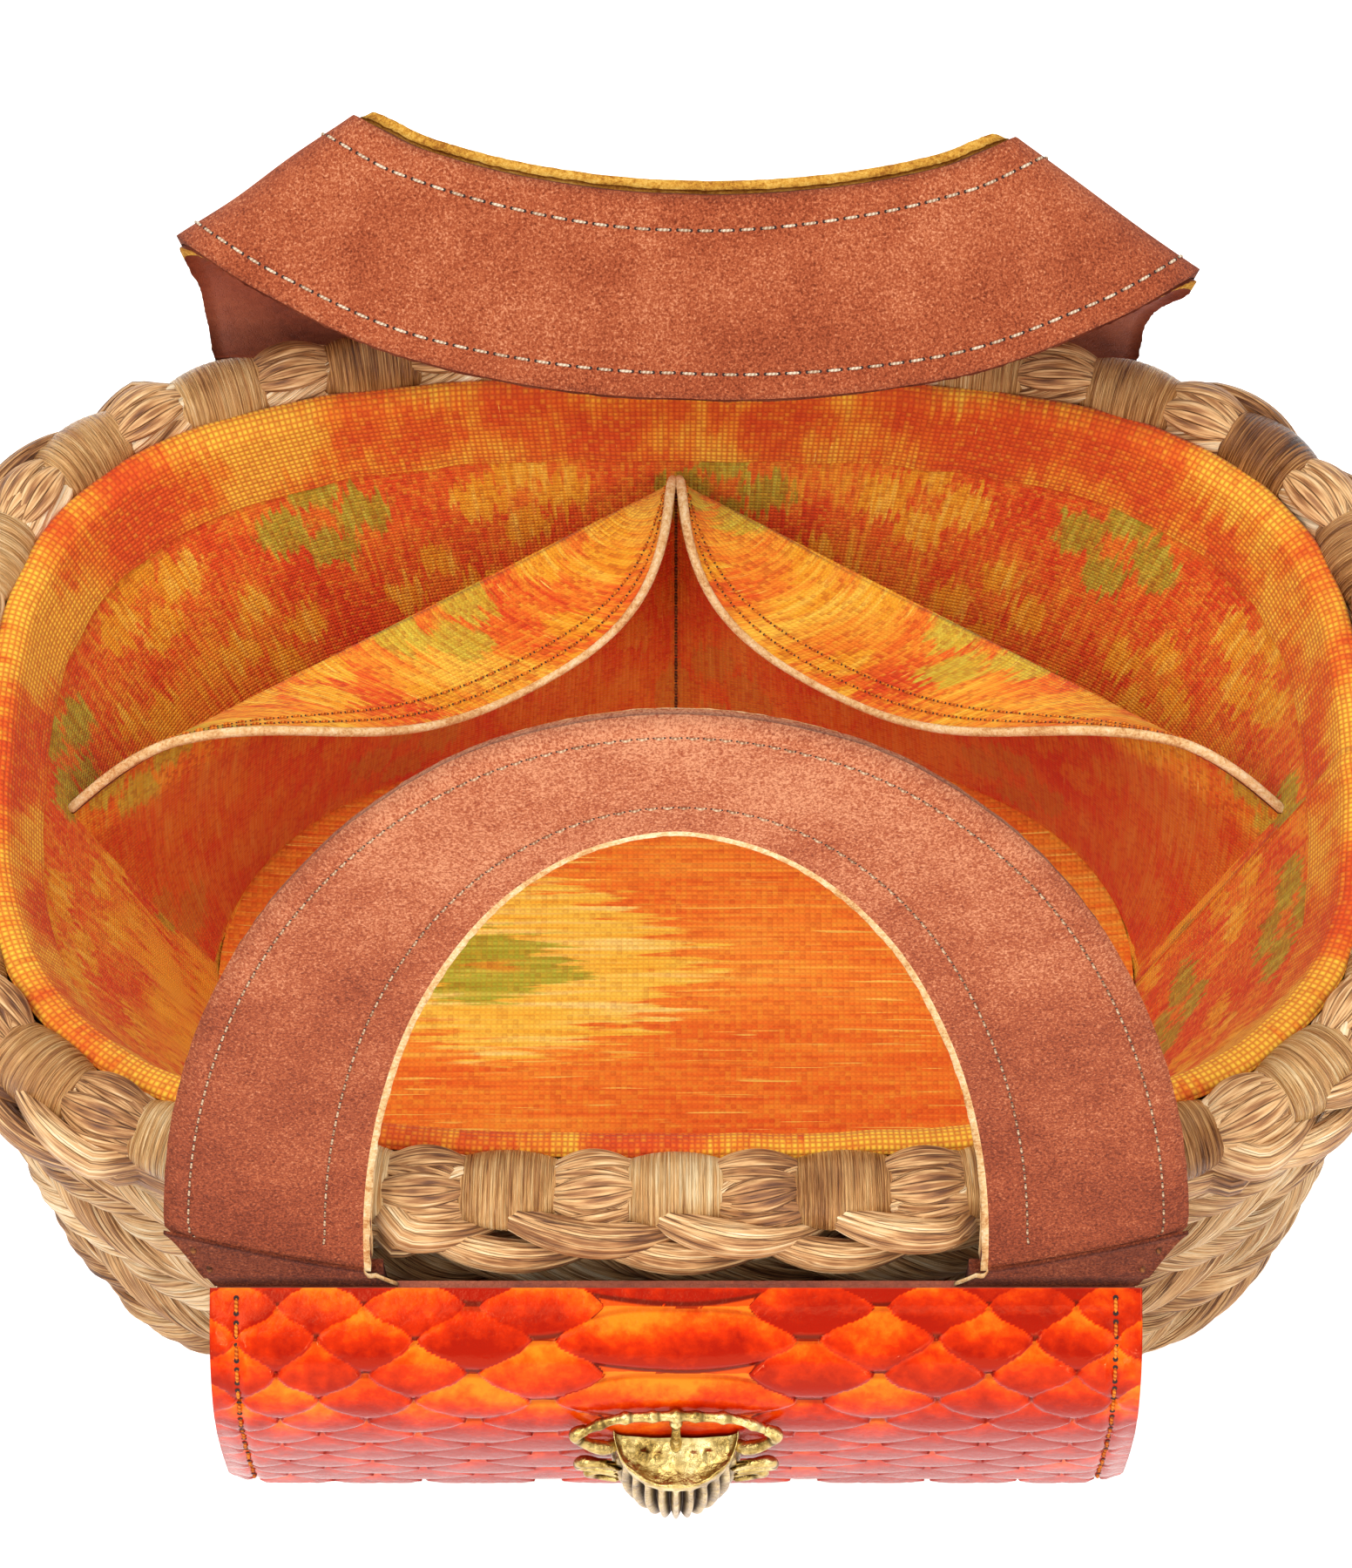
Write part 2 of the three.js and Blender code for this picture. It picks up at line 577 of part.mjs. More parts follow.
function addClasp(frame) {
  const hollowFoot = -CUP_RIM_DROP - CUP_HOLLOW;
  const hollow = solid(cup(CUP_WALL, 0)).trimByPlane([0, 0, 1], hollowFoot);
  const bowl = solid(cup(0, 1)).subtract(hollow).trimByPlane([0, 0, -1], CUP_RIM_DROP)
    .trimByPlane([0, -1, 0], claspBack);
  const stem = [BAR_ROUTE[0], [0, 1, -16], [0, CUP_WALL, hollowFoot]];
  const bar = [...mirrored(BAR_ROUTE).toReversed(), ...BAR_ROUTE.slice(1)];
  const arms = [ARM_ROUTE, mirrored(ARM_ROUTE)].map((route) => rod(route, ARM_RADIUS));
  const rods = [rod(stem, BAR_RADIUS), rod(bar, BAR_RADIUS), ...arms];
  add('clasp', meshOf(rods.map(solid).reduce((all, next) => all.add(next), bowl)), brass, frame);
}

addBase();
addRows();
addRim();
addLining();
addPocket();
addHandles();
addTabs();
const pouchFrame = new THREE.Group();
pouchFrame.position.set(0, -pouchBackDepth, pouchTop);
pouchFrame.rotation.x = pouchLean;
group.add(pouchFrame);
addPouch(pouchFrame);
addFlap(pouchFrame);
addClasp(pouchFrame);

export default group;
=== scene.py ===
import math

import bpy
import numpy as np
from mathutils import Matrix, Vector


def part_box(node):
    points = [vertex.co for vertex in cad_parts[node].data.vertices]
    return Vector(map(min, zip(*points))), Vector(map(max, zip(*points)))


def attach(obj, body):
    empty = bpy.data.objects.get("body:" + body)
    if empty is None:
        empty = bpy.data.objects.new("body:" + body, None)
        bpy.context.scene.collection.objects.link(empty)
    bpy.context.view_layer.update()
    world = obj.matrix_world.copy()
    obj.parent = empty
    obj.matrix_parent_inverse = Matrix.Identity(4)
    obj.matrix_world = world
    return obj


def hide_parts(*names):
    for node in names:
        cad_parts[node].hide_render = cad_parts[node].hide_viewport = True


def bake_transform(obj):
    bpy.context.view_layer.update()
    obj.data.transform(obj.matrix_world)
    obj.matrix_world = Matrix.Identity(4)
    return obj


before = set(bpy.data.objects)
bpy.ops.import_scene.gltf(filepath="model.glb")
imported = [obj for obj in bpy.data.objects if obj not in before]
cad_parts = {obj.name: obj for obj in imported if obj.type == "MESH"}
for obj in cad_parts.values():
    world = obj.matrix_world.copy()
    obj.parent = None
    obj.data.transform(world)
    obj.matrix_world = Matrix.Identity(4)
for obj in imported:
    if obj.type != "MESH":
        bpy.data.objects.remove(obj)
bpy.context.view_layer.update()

# A small oval basket bag of twined rope: the visual model. Sizes are in millimetres, and MM
# turns them into Blender's metres. The origin is the middle of the base, the pouch faces -Y.
MM = 0.001
rng = np.random.default_rng(7)

# Driving sizes, as in the CAD
TOUCH_GAP = 0.3
SOFT_GAP = 0.5
MOUTH_HALF_WIDTH = 118
MOUTH_HALF_DEPTH = 78.3
SQUARENESS = 3
RIM_HEIGHT = 92
WRAP_COUNT = 26
WRAP_START = 0.7 / 3
WRAP_END = 2.3 / 3
WRAP_RADIUS = 7.1
ROW_COUNT = 7
TAPER_SIDE = 0.15
TAPER_FRONT = 0.1
LINING_THICKNESS = 0.8
LINING_TOP = 93
HEM_HEIGHT = 13
FLOOR_HALF_WIDTH = 85
FLOOR_HALF_DEPTH = 54
FLOOR_SQUARENESS = 2.3
RIM_HALF_WIDTH = MOUTH_HALF_WIDTH + LINING_THICKNESS + SOFT_GAP + WRAP_RADIUS
RIM_HALF_DEPTH = MOUTH_HALF_DEPTH + LINING_THICKNESS + SOFT_GAP + WRAP_RADIUS
FLOOR_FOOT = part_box("floor_lining")[0][2] / MM
FLOOR_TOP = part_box("floor_lining")[1][2] / MM
REAR = 0.25

# Camera of the photograph, in metres and degrees
CAMERA_PLACE = (0, -0.6046, 1.0145)
CAMERA_TILT = 33
CAMERA_LENS = 145.2
CAMERA_SENSOR = 36


# Grids of points
def points_of(x, y, z):
    return np.stack(np.broadcast_arrays(x, y, z), -1).astype(float)


def unit(vectors):
    return vectors / np.maximum(np.linalg.norm(vectors, axis=-1, keepdims=True), 1e-9)


def normals(surface):
    return unit(np.cross(np.gradient(surface, axis=0), np.gradient(surface, axis=1)))


def share_of(low, high, value):
    """0 at low, 1 at high and straight between."""
    return np.clip((value - low) / (high - low), 0, 1)


def path_length(path, closed=False):
    ends = np.concatenate([path, path[:1]]) if closed else path
    return np.concatenate([[0], np.cumsum(np.linalg.norm(np.diff(ends, axis=0), axis=1))])


def along(run, values, at):
    """The rows of values at some lengths, where run is the length at each row."""
    return np.stack([np.interp(at, run, values[:, k]) for k in range(3)], -1)


def even_points(path, count):
    """The path's points again, evenly spaced along its length."""
    run = path_length(path)
    return along(run, path, np.linspace(0, run[-1], count))


def curve_points(keys, count):
    """A centripetal Catmull-Rom curve through the keys, evenly stepped in its parameter."""
    keys = np.asarray(keys, float)
    ends = np.concatenate([[2 * keys[0] - keys[1]], keys, [2 * keys[-1] - keys[-2]]])
    t = np.linspace(0, len(keys) - 1, count)
    first = np.minimum(t.astype(int), len(keys) - 2)
    w = (t - first)[:, None]
    p = [ends[first + k] for k in range(4)]
    gaps = [np.linalg.norm(p[k + 1] - p[k], axis=1) for k in range(3)]
    d0, d1, d2 = (np.maximum(gap, 1e-6)[:, None] ** 0.5 for gap in gaps)
    t1 = ((p[1] - p[0]) / d0 - (p[2] - p[0]) / (d0 + d1) + (p[2] - p[1]) / d1) * d1
    t2 = ((p[2] - p[1]) / d1 - (p[3] - p[1]) / (d1 + d2) + (p[3] - p[2]) / d2) * d1
    c2 = -3 * p[1] + 3 * p[2] - 2 * t1 - t2
    c3 = 2 * p[1] - 2 * p[2] + t1 + t2
    return p[1] + t1 * w + c2 * w**2 + c3 * w**3


def smooth_noise(shape, cells, seed):
    """Smooth values from -1 to 1 on a grid, from a coarse random lattice."""
    coarse = np.random.default_rng(seed).uniform(-1, 1, (cells[0] + 3, cells[1] + 3))
    y, x = (np.linspace(0, cells[k], shape[k]) for k in (0, 1))
    yi, xi = y.astype(int), x.astype(int)
    fy, fx = y - yi, x - xi
    fy, fx = fy * fy * (3 - 2 * fy), fx * fx * (3 - 2 * fx)
    a, b = coarse[yi][:, xi], coarse[yi][:, xi + 1]
    c, d = coarse[yi + 1][:, xi], coarse[yi + 1][:, xi + 1]
    top = a + (b - a) * fx[None, :]
    low = c + (d - c) * fx[None, :]
    return top + (low - top) * fy[:, None]


# Oval paths, superellipses measured by arc length and offset along their outward normal
class Oval:
    def __init__(self, half_width, half_depth, squareness):
        angle = np.linspace(0, 2 * math.pi, 1441)
        power = 2 / squareness
        x = half_width * np.sign(np.cos(angle)) * np.abs(np.cos(angle)) ** power
        y = half_depth * np.sign(np.sin(angle)) * np.abs(np.sin(angle)) ** power
        self.points = np.stack([x, y], -1)
        run = path_length(self.points)
        self.length = run[-1]
        self.turns = run / run[-1]
        self.half_width, self.half_depth = half_width, half_depth

    def place(self, turn):
        return [np.interp(turn % 1, self.turns, self.points[:, k]) for k in (0, 1)]

    def at(self, turn, out=0.0):
        """Points at turns from 0 to 1 round the oval, out from it, and the outward directions."""
        turn = np.asarray(turn, float) % 1
        step = 1e-3
        ahead, behind = self.place(turn + step), self.place(turn - step)
        dx, dy = ahead[0] - behind[0], ahead[1] - behind[1]
        size = np.hypot(dx, dy)
        normal = points_of(dy / size, -dx / size, 0)
        return points_of(*self.place(turn), 0) + normal * np.asarray(out, float)[..., None], normal


def row_path(height):
    drop = RIM_HEIGHT - height
    return Oval(RIM_HALF_WIDTH - TAPER_SIDE * drop, RIM_HALF_DEPTH - TAPER_FRONT * drop, SQUARENESS)


def lining_path(height):
    share = share_of(LINING_TOP, FLOOR_FOOT, height)
    tops = (MOUTH_HALF_WIDTH, MOUTH_HALF_DEPTH, SQUARENESS)
    feet = (FLOOR_HALF_WIDTH, FLOOR_HALF_DEPTH, FLOOR_SQUARENESS)
    return Oval(*(top + (foot - top) * share for top, foot in zip(tops, feet)))


LINING_GIRTH = lining_path((LINING_TOP + FLOOR_TOP) / 2).length


# Mesh building
def grid_quads(rows, columns, wrap_rows=False, wrap_columns=False):
    i = np.arange(rows if wrap_rows else rows - 1)
    j = np.arange(columns if wrap_columns else columns - 1)
    a, b = np.meshgrid(i, j, indexing="ij")
    a2, b2 = (a + 1) % rows, (b + 1) % columns
    corners = [a * columns + b, a2 * columns + b, a2 * columns + b2, a * columns + b2]
    return np.stack(corners, -1).reshape(-1, 4)


def outward(points, quads):
    """Quads turned so that the closed or thick body's faces point out."""
    a, b, c = (points[quads[:, k]] for k in (0, 1, 2))
    middle = points.mean(axis=0)
    volume = np.einsum("ij,ij->i", a - middle, np.cross(b - middle, c - middle)).sum()
    return quads if volume > 0 else quads[:, ::-1]


def piece(name, points, faces, looks, body=None, slot=None, node=None, uv=None, layers=None, kinds=None):
    """A mesh piece on a CAD body, in place of a CAD node.

    A face whose last two corners are one point is a triangle. uv and layers hold a value for each
    vertex, and kinds says which of the looks each face has.
    """
    mesh = bpy.data.meshes.new(name)
    faces = [face[:3] if face[2] == face[3] else face for face in np.asarray(faces).tolist()]
    mesh.from_pydata((np.asarray(points) * MM).tolist(), [], faces)
    for look in [looks] if isinstance(looks, str) else looks:
        mesh.materials.append(materials[look])
    if kinds is not None:
        mesh.polygons.foreach_set("material_index", np.asarray(kinds, np.int32))
    mesh.polygons.foreach_set("use_smooth", np.ones(len(mesh.polygons), bool))
    if uv is not None:
        index = np.empty(len(mesh.loops), np.int32)
        mesh.loops.foreach_get("vertex_index", index)
        layer = mesh.uv_layers.new(name="UVMap")
        layer.data.foreach_set("uv", np.asarray(uv, np.float32)[index].ravel())
    for layer_name, values in (layers or {}).items():
        attribute = mesh.attributes.new(layer_name, "FLOAT", "POINT")
        attribute.data.foreach_set("value", np.asarray(values, np.float32).ravel())
    mesh.update()
    obj = bpy.data.objects.new(name, mesh)
    bpy.context.collection.objects.link(obj)
    if body:
        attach(obj, body)
    if node:
        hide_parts(node)
    return obj


def merge(parts):
    """One (points, faces, uv, tone) from several."""
    points, faces, uvs, tones = zip(*parts)
    counts = [len(part) for part in points]
    starts = np.cumsum([0, *counts[:-1]])
    return (
        np.concatenate(points),
        np.concatenate([part + start for part, start in zip(faces, starts)]),
        np.concatenate(uvs),
        np.concatenate([np.broadcast_to(tone, count) for tone, count in zip(tones, counts)]),
    )


def fibre_piece(name, parts, node=None, look="straw"):
    points, faces, uv, tone = merge(parts)
    piece(name, points, faces, look, "basket", slot=look, node=node, uv=uv, layers={"tone": tone})


def tube(
    path, side, reach_side, reach_up, sides, closed=False, lobes=0, lobe_depth=0.0, lobe_turns=0.0, tone=0.5
):
    """A tube along path. side is the section's first axis, and both reaches may vary along it."""
    path, side = np.asarray(path, float), np.broadcast_to(side, np.shape(path)).astype(float)
    step = np.roll(path, -1, axis=0) - np.roll(path, 1, axis=0) if closed else np.gradient(path, axis=0)
    forward = unit(step)
    side = unit(side - forward * np.einsum("ij,ij->i", side, forward)[:, None])
    up = np.cross(forward, side)
    n = len(path)
    angle = np.linspace(0, 2 * math.pi, sides, endpoint=False)
    share = np.linspace(0, 1, n)[:, None]
    ripple = 1 + lobe_depth * np.cos(lobes * angle[None, :] + 2 * math.pi * lobe_turns * share)
    a = np.broadcast_to(np.asarray(reach_side, float), n)[:, None] * ripple * np.cos(angle)[None, :]
    b = np.broadcast_to(np.asarray(reach_up, float), n)[:, None] * ripple * np.sin(angle)[None, :]
    points = path[:, None, :] + a[..., None] * side[:, None, :] + b[..., None] * up[:, None, :]
    points = points.reshape(-1, 3)
    quads = grid_quads(n, sides, wrap_rows=closed, wrap_columns=True)
    body = outward(points, quads)
    run = path_length(path, closed)[:n]
    round_reach = 2 * math.pi * float(np.mean(reach_side))
    fold = np.abs(np.linspace(-1, 1, sides, endpoint=False))
    uv = np.stack([np.repeat(run, sides), np.tile(fold * round_reach / 2, n)], -1)
    if closed:
        return points, body, uv, tone
    ring = np.arange(sides)
    after = (ring + 1) % sides
    far = (n - 1) * sides
    caps = [(ring, after, n * sides), (far + after, far + ring, n * sides + 1)]
    caps = np.concatenate([np.stack(np.broadcast_arrays(a, b, end, end), -1) for a, b, end in caps])
    if np.array_equal(body, quads):
        caps = caps[:, [1, 0, 2, 3]]
    points = np.concatenate([points, path[[0, -1]]])
    uv = np.concatenate([uv, [[run[0], 0], [run[-1], 0]]])
    return points, np.concatenate([body, caps]), uv, tone


def slab(out, inner):
    """Two grids of points joined round their border, and 1 for each face of the border."""
    rows, columns = out.shape[:2]
    count = rows * columns
    quads = grid_quads(rows, columns)
    index = np.arange(count).reshape(rows, columns)
    border = np.concatenate([index[0, :-1], index[:-1, -1], index[-1, :0:-1], index[:0:-1, 0]])
    after = np.roll(border, -1)
    edge = np.stack([border, border + count, after + count, after], -1)
    faces = np.concatenate([quads, quads[:, ::-1] + count, edge])
    points = np.concatenate([out.reshape(-1, 3), inner.reshape(-1, 3)])
    return points, faces, np.repeat([0, 0, 1], [len(quads), len(quads), len(edge)])


def both_faces(u, v):
    """The uv of both faces of a slab, from values that broadcast to its grid."""
    u, v = np.broadcast_arrays(u, v)
    return np.tile(np.stack([u.ravel(), v.ravel()], -1), (2, 1))


def thick_sheet(surface, thickness, lift=0.0):
    """A sheet of even thickness over a grid of points: a slab's values, and its uv in millimetres."""
    normal = normals(surface)
    out, inner = (surface + normal * (lift + step) for step in (thickness / 2, -thickness / 2))
    points, faces, edges = slab(out, inner)
    rows, columns = surface.shape[:2]
    u, v = (np.cumsum(np.linalg.norm(np.diff(surface, axis=k), axis=2), axis=k) for k in (0, 1))
    u = np.concatenate([np.zeros((1, columns)), u])
    v = np.concatenate([np.zeros((rows, 1)), v], axis=1)
    return points, faces, edges, both_faces(u - u[rows // 2], v)


def declare_sheet(surface):
    """Works out the area of a cloth's middle surface in square metres, and does not keep it."""
    a, b, c, d = surface[:-1, :-1], surface[1:, :-1], surface[1:, 1:], surface[:-1, 1:]
    area = 0.5 * np.linalg.norm(np.cross(c - a, d - b), axis=-1).sum() * MM * MM


# Each seam's stitch length, its pitch, the thread's radius and the needle hole's
STITCHES = {
    "pocket_edge": (1.6, 2.5, 0.2, 0.22),
    "pocket_middle": (2.3, 3.0, 0.28, 0.3),
    "front_handle": (1.6, 2.5, 0.18, 0.22),
    "rear_handle": (2.3, 3.6, 0.25, 0.34),
    "tab": (2.0, 2.6, 0.32, 0.36),
    "tack": (1.0, 1.1, 0.45, 0.3),
    "flap": (2.6, 4.0, 0.3, 0.5),
}


def stitches(name, body, runs, thread, seam):
    """Short threads sunk a little into the leather along each run, with a dark disc at each end as painted
    shade for the needle hole.
    """
    length, pitch, radius, hole = STITCHES[seam]
    bow = np.array([-0.15, 0.16, 0.24, 0.16, -0.15])[:, None]
    width = radius * np.array([0.6, 1, 1.05, 1, 0.6])
    threads, holes = [], []
    for path, normal in runs:
        run = path_length(path)
        count = int(run[-1] / pitch)
        for k in range(count):
            middle = (k + 0.5) * run[-1] / count
            place = along(run, path, np.linspace(middle - length / 2, middle + length / 2, 5))
            face = unit(along(run, normal, middle))
            across = np.cross(place[-1] - place[0], face)
            threads.append(tube(place + bow * face, across, width, width, 6, tone=rng.uniform(0.3, 0.7)))
            holes += [disc(place[end] + face * 0.05, face, hole) for end in (0, -1)]
    points, faces, uv, tone = merge(threads)
    piece(name, points, faces, thread, body, uv=uv, layers={"tone": tone})
    points, faces, uv, _ = merge(holes)
    piece(name + "_holes", points, faces, "needle_hole", body, uv=uv)


def disc(centre, face, radius, sides=7):
    side = unit(np.cross(face, [0.3, 0.5, 0.8]))
    up = np.cross(face, side)
    angle = np.linspace(0, 2 * math.pi, sides, endpoint=False)[:, None]
    ring = centre + radius * (np.cos(angle) * side + np.sin(angle) * up)
    faces = [[k, (k + 1) % sides, sides, sides] for k in range(sides)]
    return np.concatenate([ring, [centre + face * 0.04]]), np.array(faces), np.zeros((sides + 1, 2)), 0.0


# Materials, built from nodes, in metres or in the sheet's own millimetres
class Value:
    """What a node gives. Arithmetic on it adds Math nodes."""

    def __init__(self, nodes, socket):
        self.nodes, self.socket = nodes, socket

    def __add__(self, other):
        return self.nodes.math("ADD", self, other)

    def __sub__(self, other):
        return self.nodes.math("SUBTRACT", self, other)

    def __rsub__(self, other):
        return self.nodes.math("SUBTRACT", other, self)

    def __mul__(self, other):
        return self.nodes.math("MULTIPLY", self, other)

    def __truediv__(self, other):
        return self.nodes.math("DIVIDE", self, other)

    def __abs__(self):
        return self.nodes.math("ABSOLUTE", self)


class Nodes:
    def __init__(self, tree):
        self.tree = tree

    def node(self, kind, inputs, output=0, **settings):
        """A new node's output. Inputs and output are given by name or number."""
        made = self.tree.nodes.new("ShaderNode" + kind)
        for key, value in settings.items():
            setattr(made, key, value)
        for key, value in inputs.items():
            self.feed(made.inputs[key], value)
        return Value(self, made.outputs[output])

    def feed(self, socket, value):
        if isinstance(value, Value):
            self.tree.links.new(value.socket, socket)
        else:
            socket.default_value = value

    def math(self, operation, *values):
        return self.node("Math", dict(enumerate(values)), operation=operation)


class Shader(Nodes):
    """A material, kept in materials by its name."""

    def __init__(self, name):
        self.material = materials[name] = bpy.data.materials.new(name)
        self.material.use_nodes = True
        super().__init__(self.material.node_tree)
        self.surface = self.tree.nodes["Principled BSDF"]

    def vary(self, level, *shares):
        """The level moved by each value's distance from 0.5, times its share."""
        for value, share in shares:
            level = self.math("MULTIPLY_ADD", value - 0.5, share, level)
        return level

    def length(self, x, y):
        return self.math("SQRT", x * x + y * y)

    def floor(self, value):
        return self.math("FLOOR", value)

    def odd(self, whole):
        """1 for an odd whole number and 0 for an even one."""
        return self.math("MODULO", abs(whole), 2.0)

    def split(self, vector):
        first = self.node("SeparateXYZ", {0: vector})
        return [Value(self, output) for output in first.socket.node.outputs]

    def vector(self, x, y, z=0.0):
        return self.node("CombineXYZ", {0: x, 1: y, 2: z})

    def uv(self):
        return self.split(self.node("UVMap", {}, uv_map="UVMap"))[:2]

    def place(self):
        return self.node("TexCoord", {}, "Object")

    def layer(self, name):
        return self.node("Attribute", {}, "Fac", attribute_name=name)

    def noise(self, vector, scale, detail, rough):
        inputs = {"Vector": vector, "Scale": scale, "Detail": detail, "Roughness": rough}
        return self.node("TexNoise", inputs)

    def cells(self, scale, rise):
        """0 on the borders of random cells and 1 inside them."""
        inputs = {"Vector": self.place(), "Scale": scale}
        return self.steps(self.node("TexVoronoi", inputs, feature="DISTANCE_TO_EDGE"), 0.0, rise)

    def ramp(self, factor, stops):
        made = self.node("ValToRGB", {0: factor})
        elements = made.socket.node.color_ramp.elements
        while len(elements) < len(stops):
            elements.new(0.5)
        for element, (at, colour) in zip(elements, stops):
            element.position = at
            element.color = colour_of(colour)
        return made

    def steps(self, factor, low, high):
        """0 below low, 1 above high, and smooth between."""
        return self.node("MapRange", {0: factor, 1: low, 2: high}, interpolation_type="SMOOTHSTEP")

    def below(self, factor, low, high):
        """1 below low, 0 above high, and smooth between."""
        return 1.0 - self.steps(factor, low, high)

    def mix(self, factor, a, b):
        return self.node("Mix", {0: factor, 6: colour_of(a), 7: colour_of(b)}, 2, data_type="RGBA")

    def bump(self, height, strength, distance):
        bump = self.node("Bump", {"Strength": strength, "Distance": distance, "Height": height})
        self.feed(self.surface.inputs["Normal"], bump)

    def finish(self, colour, roughness, **numbers):
        self.feed(self.surface.inputs["Base Color"], colour_of(colour))
        self.feed(self.surface.inputs["Roughness"], roughness)
        for key, value in numbers.items():
            self.surface.inputs[key.replace("_", " ")].default_value = value


def colour_of(value):
    """A node's value, or an sRGB colour from 0 to 255 as linear light."""
    if isinstance(value, Value):
        return value
    shares = [c / 255 for c in value]
    return (*(c / 12.92 if c <= 0.04045 else ((c + 0.055) / 1.055) ** 2.4 for c in shares), 1)


def fibre_material(name, tones, gloss, contrast):
    """Dried plant fibre: grain lines along the strand, with each stem its own tone."""
    m = Shader(name)
    u, v = m.uv()
    tone = m.layer("tone")
    grain = m.noise(m.vector(u * 0.045, v * 1.3, tone), 1.0, 4.0, 0.65)
    fine = m.noise(m.vector(u * 0.1, v * 3.6, tone), 1.0, 3.0, 0.6)
    patch = m.noise(m.place(), 60.0, 3.0, 0.6)
    split = m.noise(m.vector(u * 0.03, v, 5.0), 1.0, 2.0, 0.5)
    groove = m.steps(abs(split - 0.5), 0.0, 0.035)
    level = m.vary(0.54, (grain, 1.5 * contrast), (fine, 0.9 * contrast), (patch, 0.6), (tone, 0.75))
    colour = m.mix(groove, m.ramp(level - 0.2 * contrast, tones), m.ramp(level, tones))
    m.bump(fine * 0.5 + groove * 0.3 + grain, 0.9, 0.0012)
    m.finish(colour, fine * 0.25 + gloss, Specular_IOR_Level=0.4)


def suede_material(name, shade):
    """Brushed leather, with painted light: paler towards the top of the handles, where more light falls on
    it.
    """
    m = Shader(name)
    place = m.place()
    broad = m.noise(place, 60.0, 4.0, 0.6)
    nap = m.noise(place, 1900.0, 4.0, 0.75)
    fuzz = m.noise(place, 2600.0, 2.0, 0.6)
    level = m.vary(0.5, (nap, 1.05), (fuzz, 0.8), (broad, 0.45))
    # Painted light: the suede gets paler with height, for the light that falls on the tops of the handles.
    level = (m.split(place)[2] - 0.155) * 2.3 + level
    tones = [(0.2, (110, 44, 22)), (0.42, (158, 73, 42)), (0.56, (184, 96, 58)), (0.8, (228, 154, 112))]
    tones = [(at, tuple(c * shade for c in colour)) for at, colour in tones]
    m.bump(fuzz * 0.6 + nap, 0.7, 0.0008)
    m.finish(m.ramp(level, tones), 0.95, Sheen_Weight=0.06, Sheen_Roughness=0.5, Specular_IOR_Level=0.1)


def smooth_leather_material(name, dark, mid, pale):
    m = Shader(name)
    place = m.place()
    broad = m.noise(place, 60.0, 3.0, 0.55)
    cell = m.cells(1500.0, 0.12)
    fine = m.noise(place, 900.0, 3.0, 0.6)
    colour = m.ramp(fine * 0.35 + broad * 0.65, [(0.35, dark), (0.5, mid), (0.68, pale)])
    m.bump(fine * 0.4 + cell, 0.3, 0.0003)
    m.finish(m.mix((1.0 - cell) * 0.35, colour, dark), 0.5, Specular_IOR_Level=0.35)


def raw_edge_material(name, dark, mid, pale):
    m = Shader(name)
    fuzz = m.noise(m.place(), 1500.0, 4.0, 0.75)
    broad = m.noise(m.place(), 160.0, 3.0, 0.6)
    m.bump(fuzz, 0.8, 0.0006)
    colour = m.ramp(fuzz * 0.6 + broad * 0.4, [(0.38, dark), (0.5, mid), (0.62, pale)])
    m.finish(colour, 0.95, Specular_IOR_Level=0.1)


def thread_material(name, dark, pale):
    m = Shader(name)
    u, v = m.uv()
    ply = m.math("SINE", u * 9.0 + v * 2.5)
    m.bump(ply, 0.5, 0.0003)
    m.finish(m.ramp(ply * 0.25 + m.layer("tone"), [(0.2, dark), (0.8, pale)]), 0.8, Specular_IOR_Level=0.2)


# The printed cotton's colours
RED_GROUND = [
    (0.22, (216, 56, 20)), (0.42, (228, 84, 26)), (0.56, (236, 116, 34)), (0.7, (244, 156, 40)),
    (0.86, (250, 190, 60)),
]
FLOOR_GROUND = [(0.22, (230, 92, 28)), (0.42, (240, 116, 34)), (0.6, (247, 142, 44)), (0.8, (252, 184, 70))]
POCKET_GROUND = [(0.2, (222, 72, 24)), (0.4, (236, 112, 30)), (0.56, (244, 152, 40)), (0.75, (252, 196, 66))]
HEM_GROUND = [(0.22, (222, 88, 26)), (0.42, (234, 116, 30)), (0.56, (246, 158, 42)), (0.72, (252, 196, 62))]
YELLOW = [(0.32, (230, 138, 22)), (0.5, (243, 168, 34)), (0.68, (252, 202, 76))]
PALE_YELLOW = [(0.3, (248, 182, 44)), (0.5, (253, 212, 76)), (0.68, (255, 230, 130))]
OLIVE = [(0.34, (156, 134, 26)), (0.5, (158, 156, 38)), (0.66, (184, 186, 62))]
LEAF = [(0.34, (150, 156, 34)), (0.5, (160, 178, 48)), (0.66, (196, 196, 70))]
PALE_OLIVE = [(0.34, (190, 160, 34)), (0.66, (206, 196, 66))]
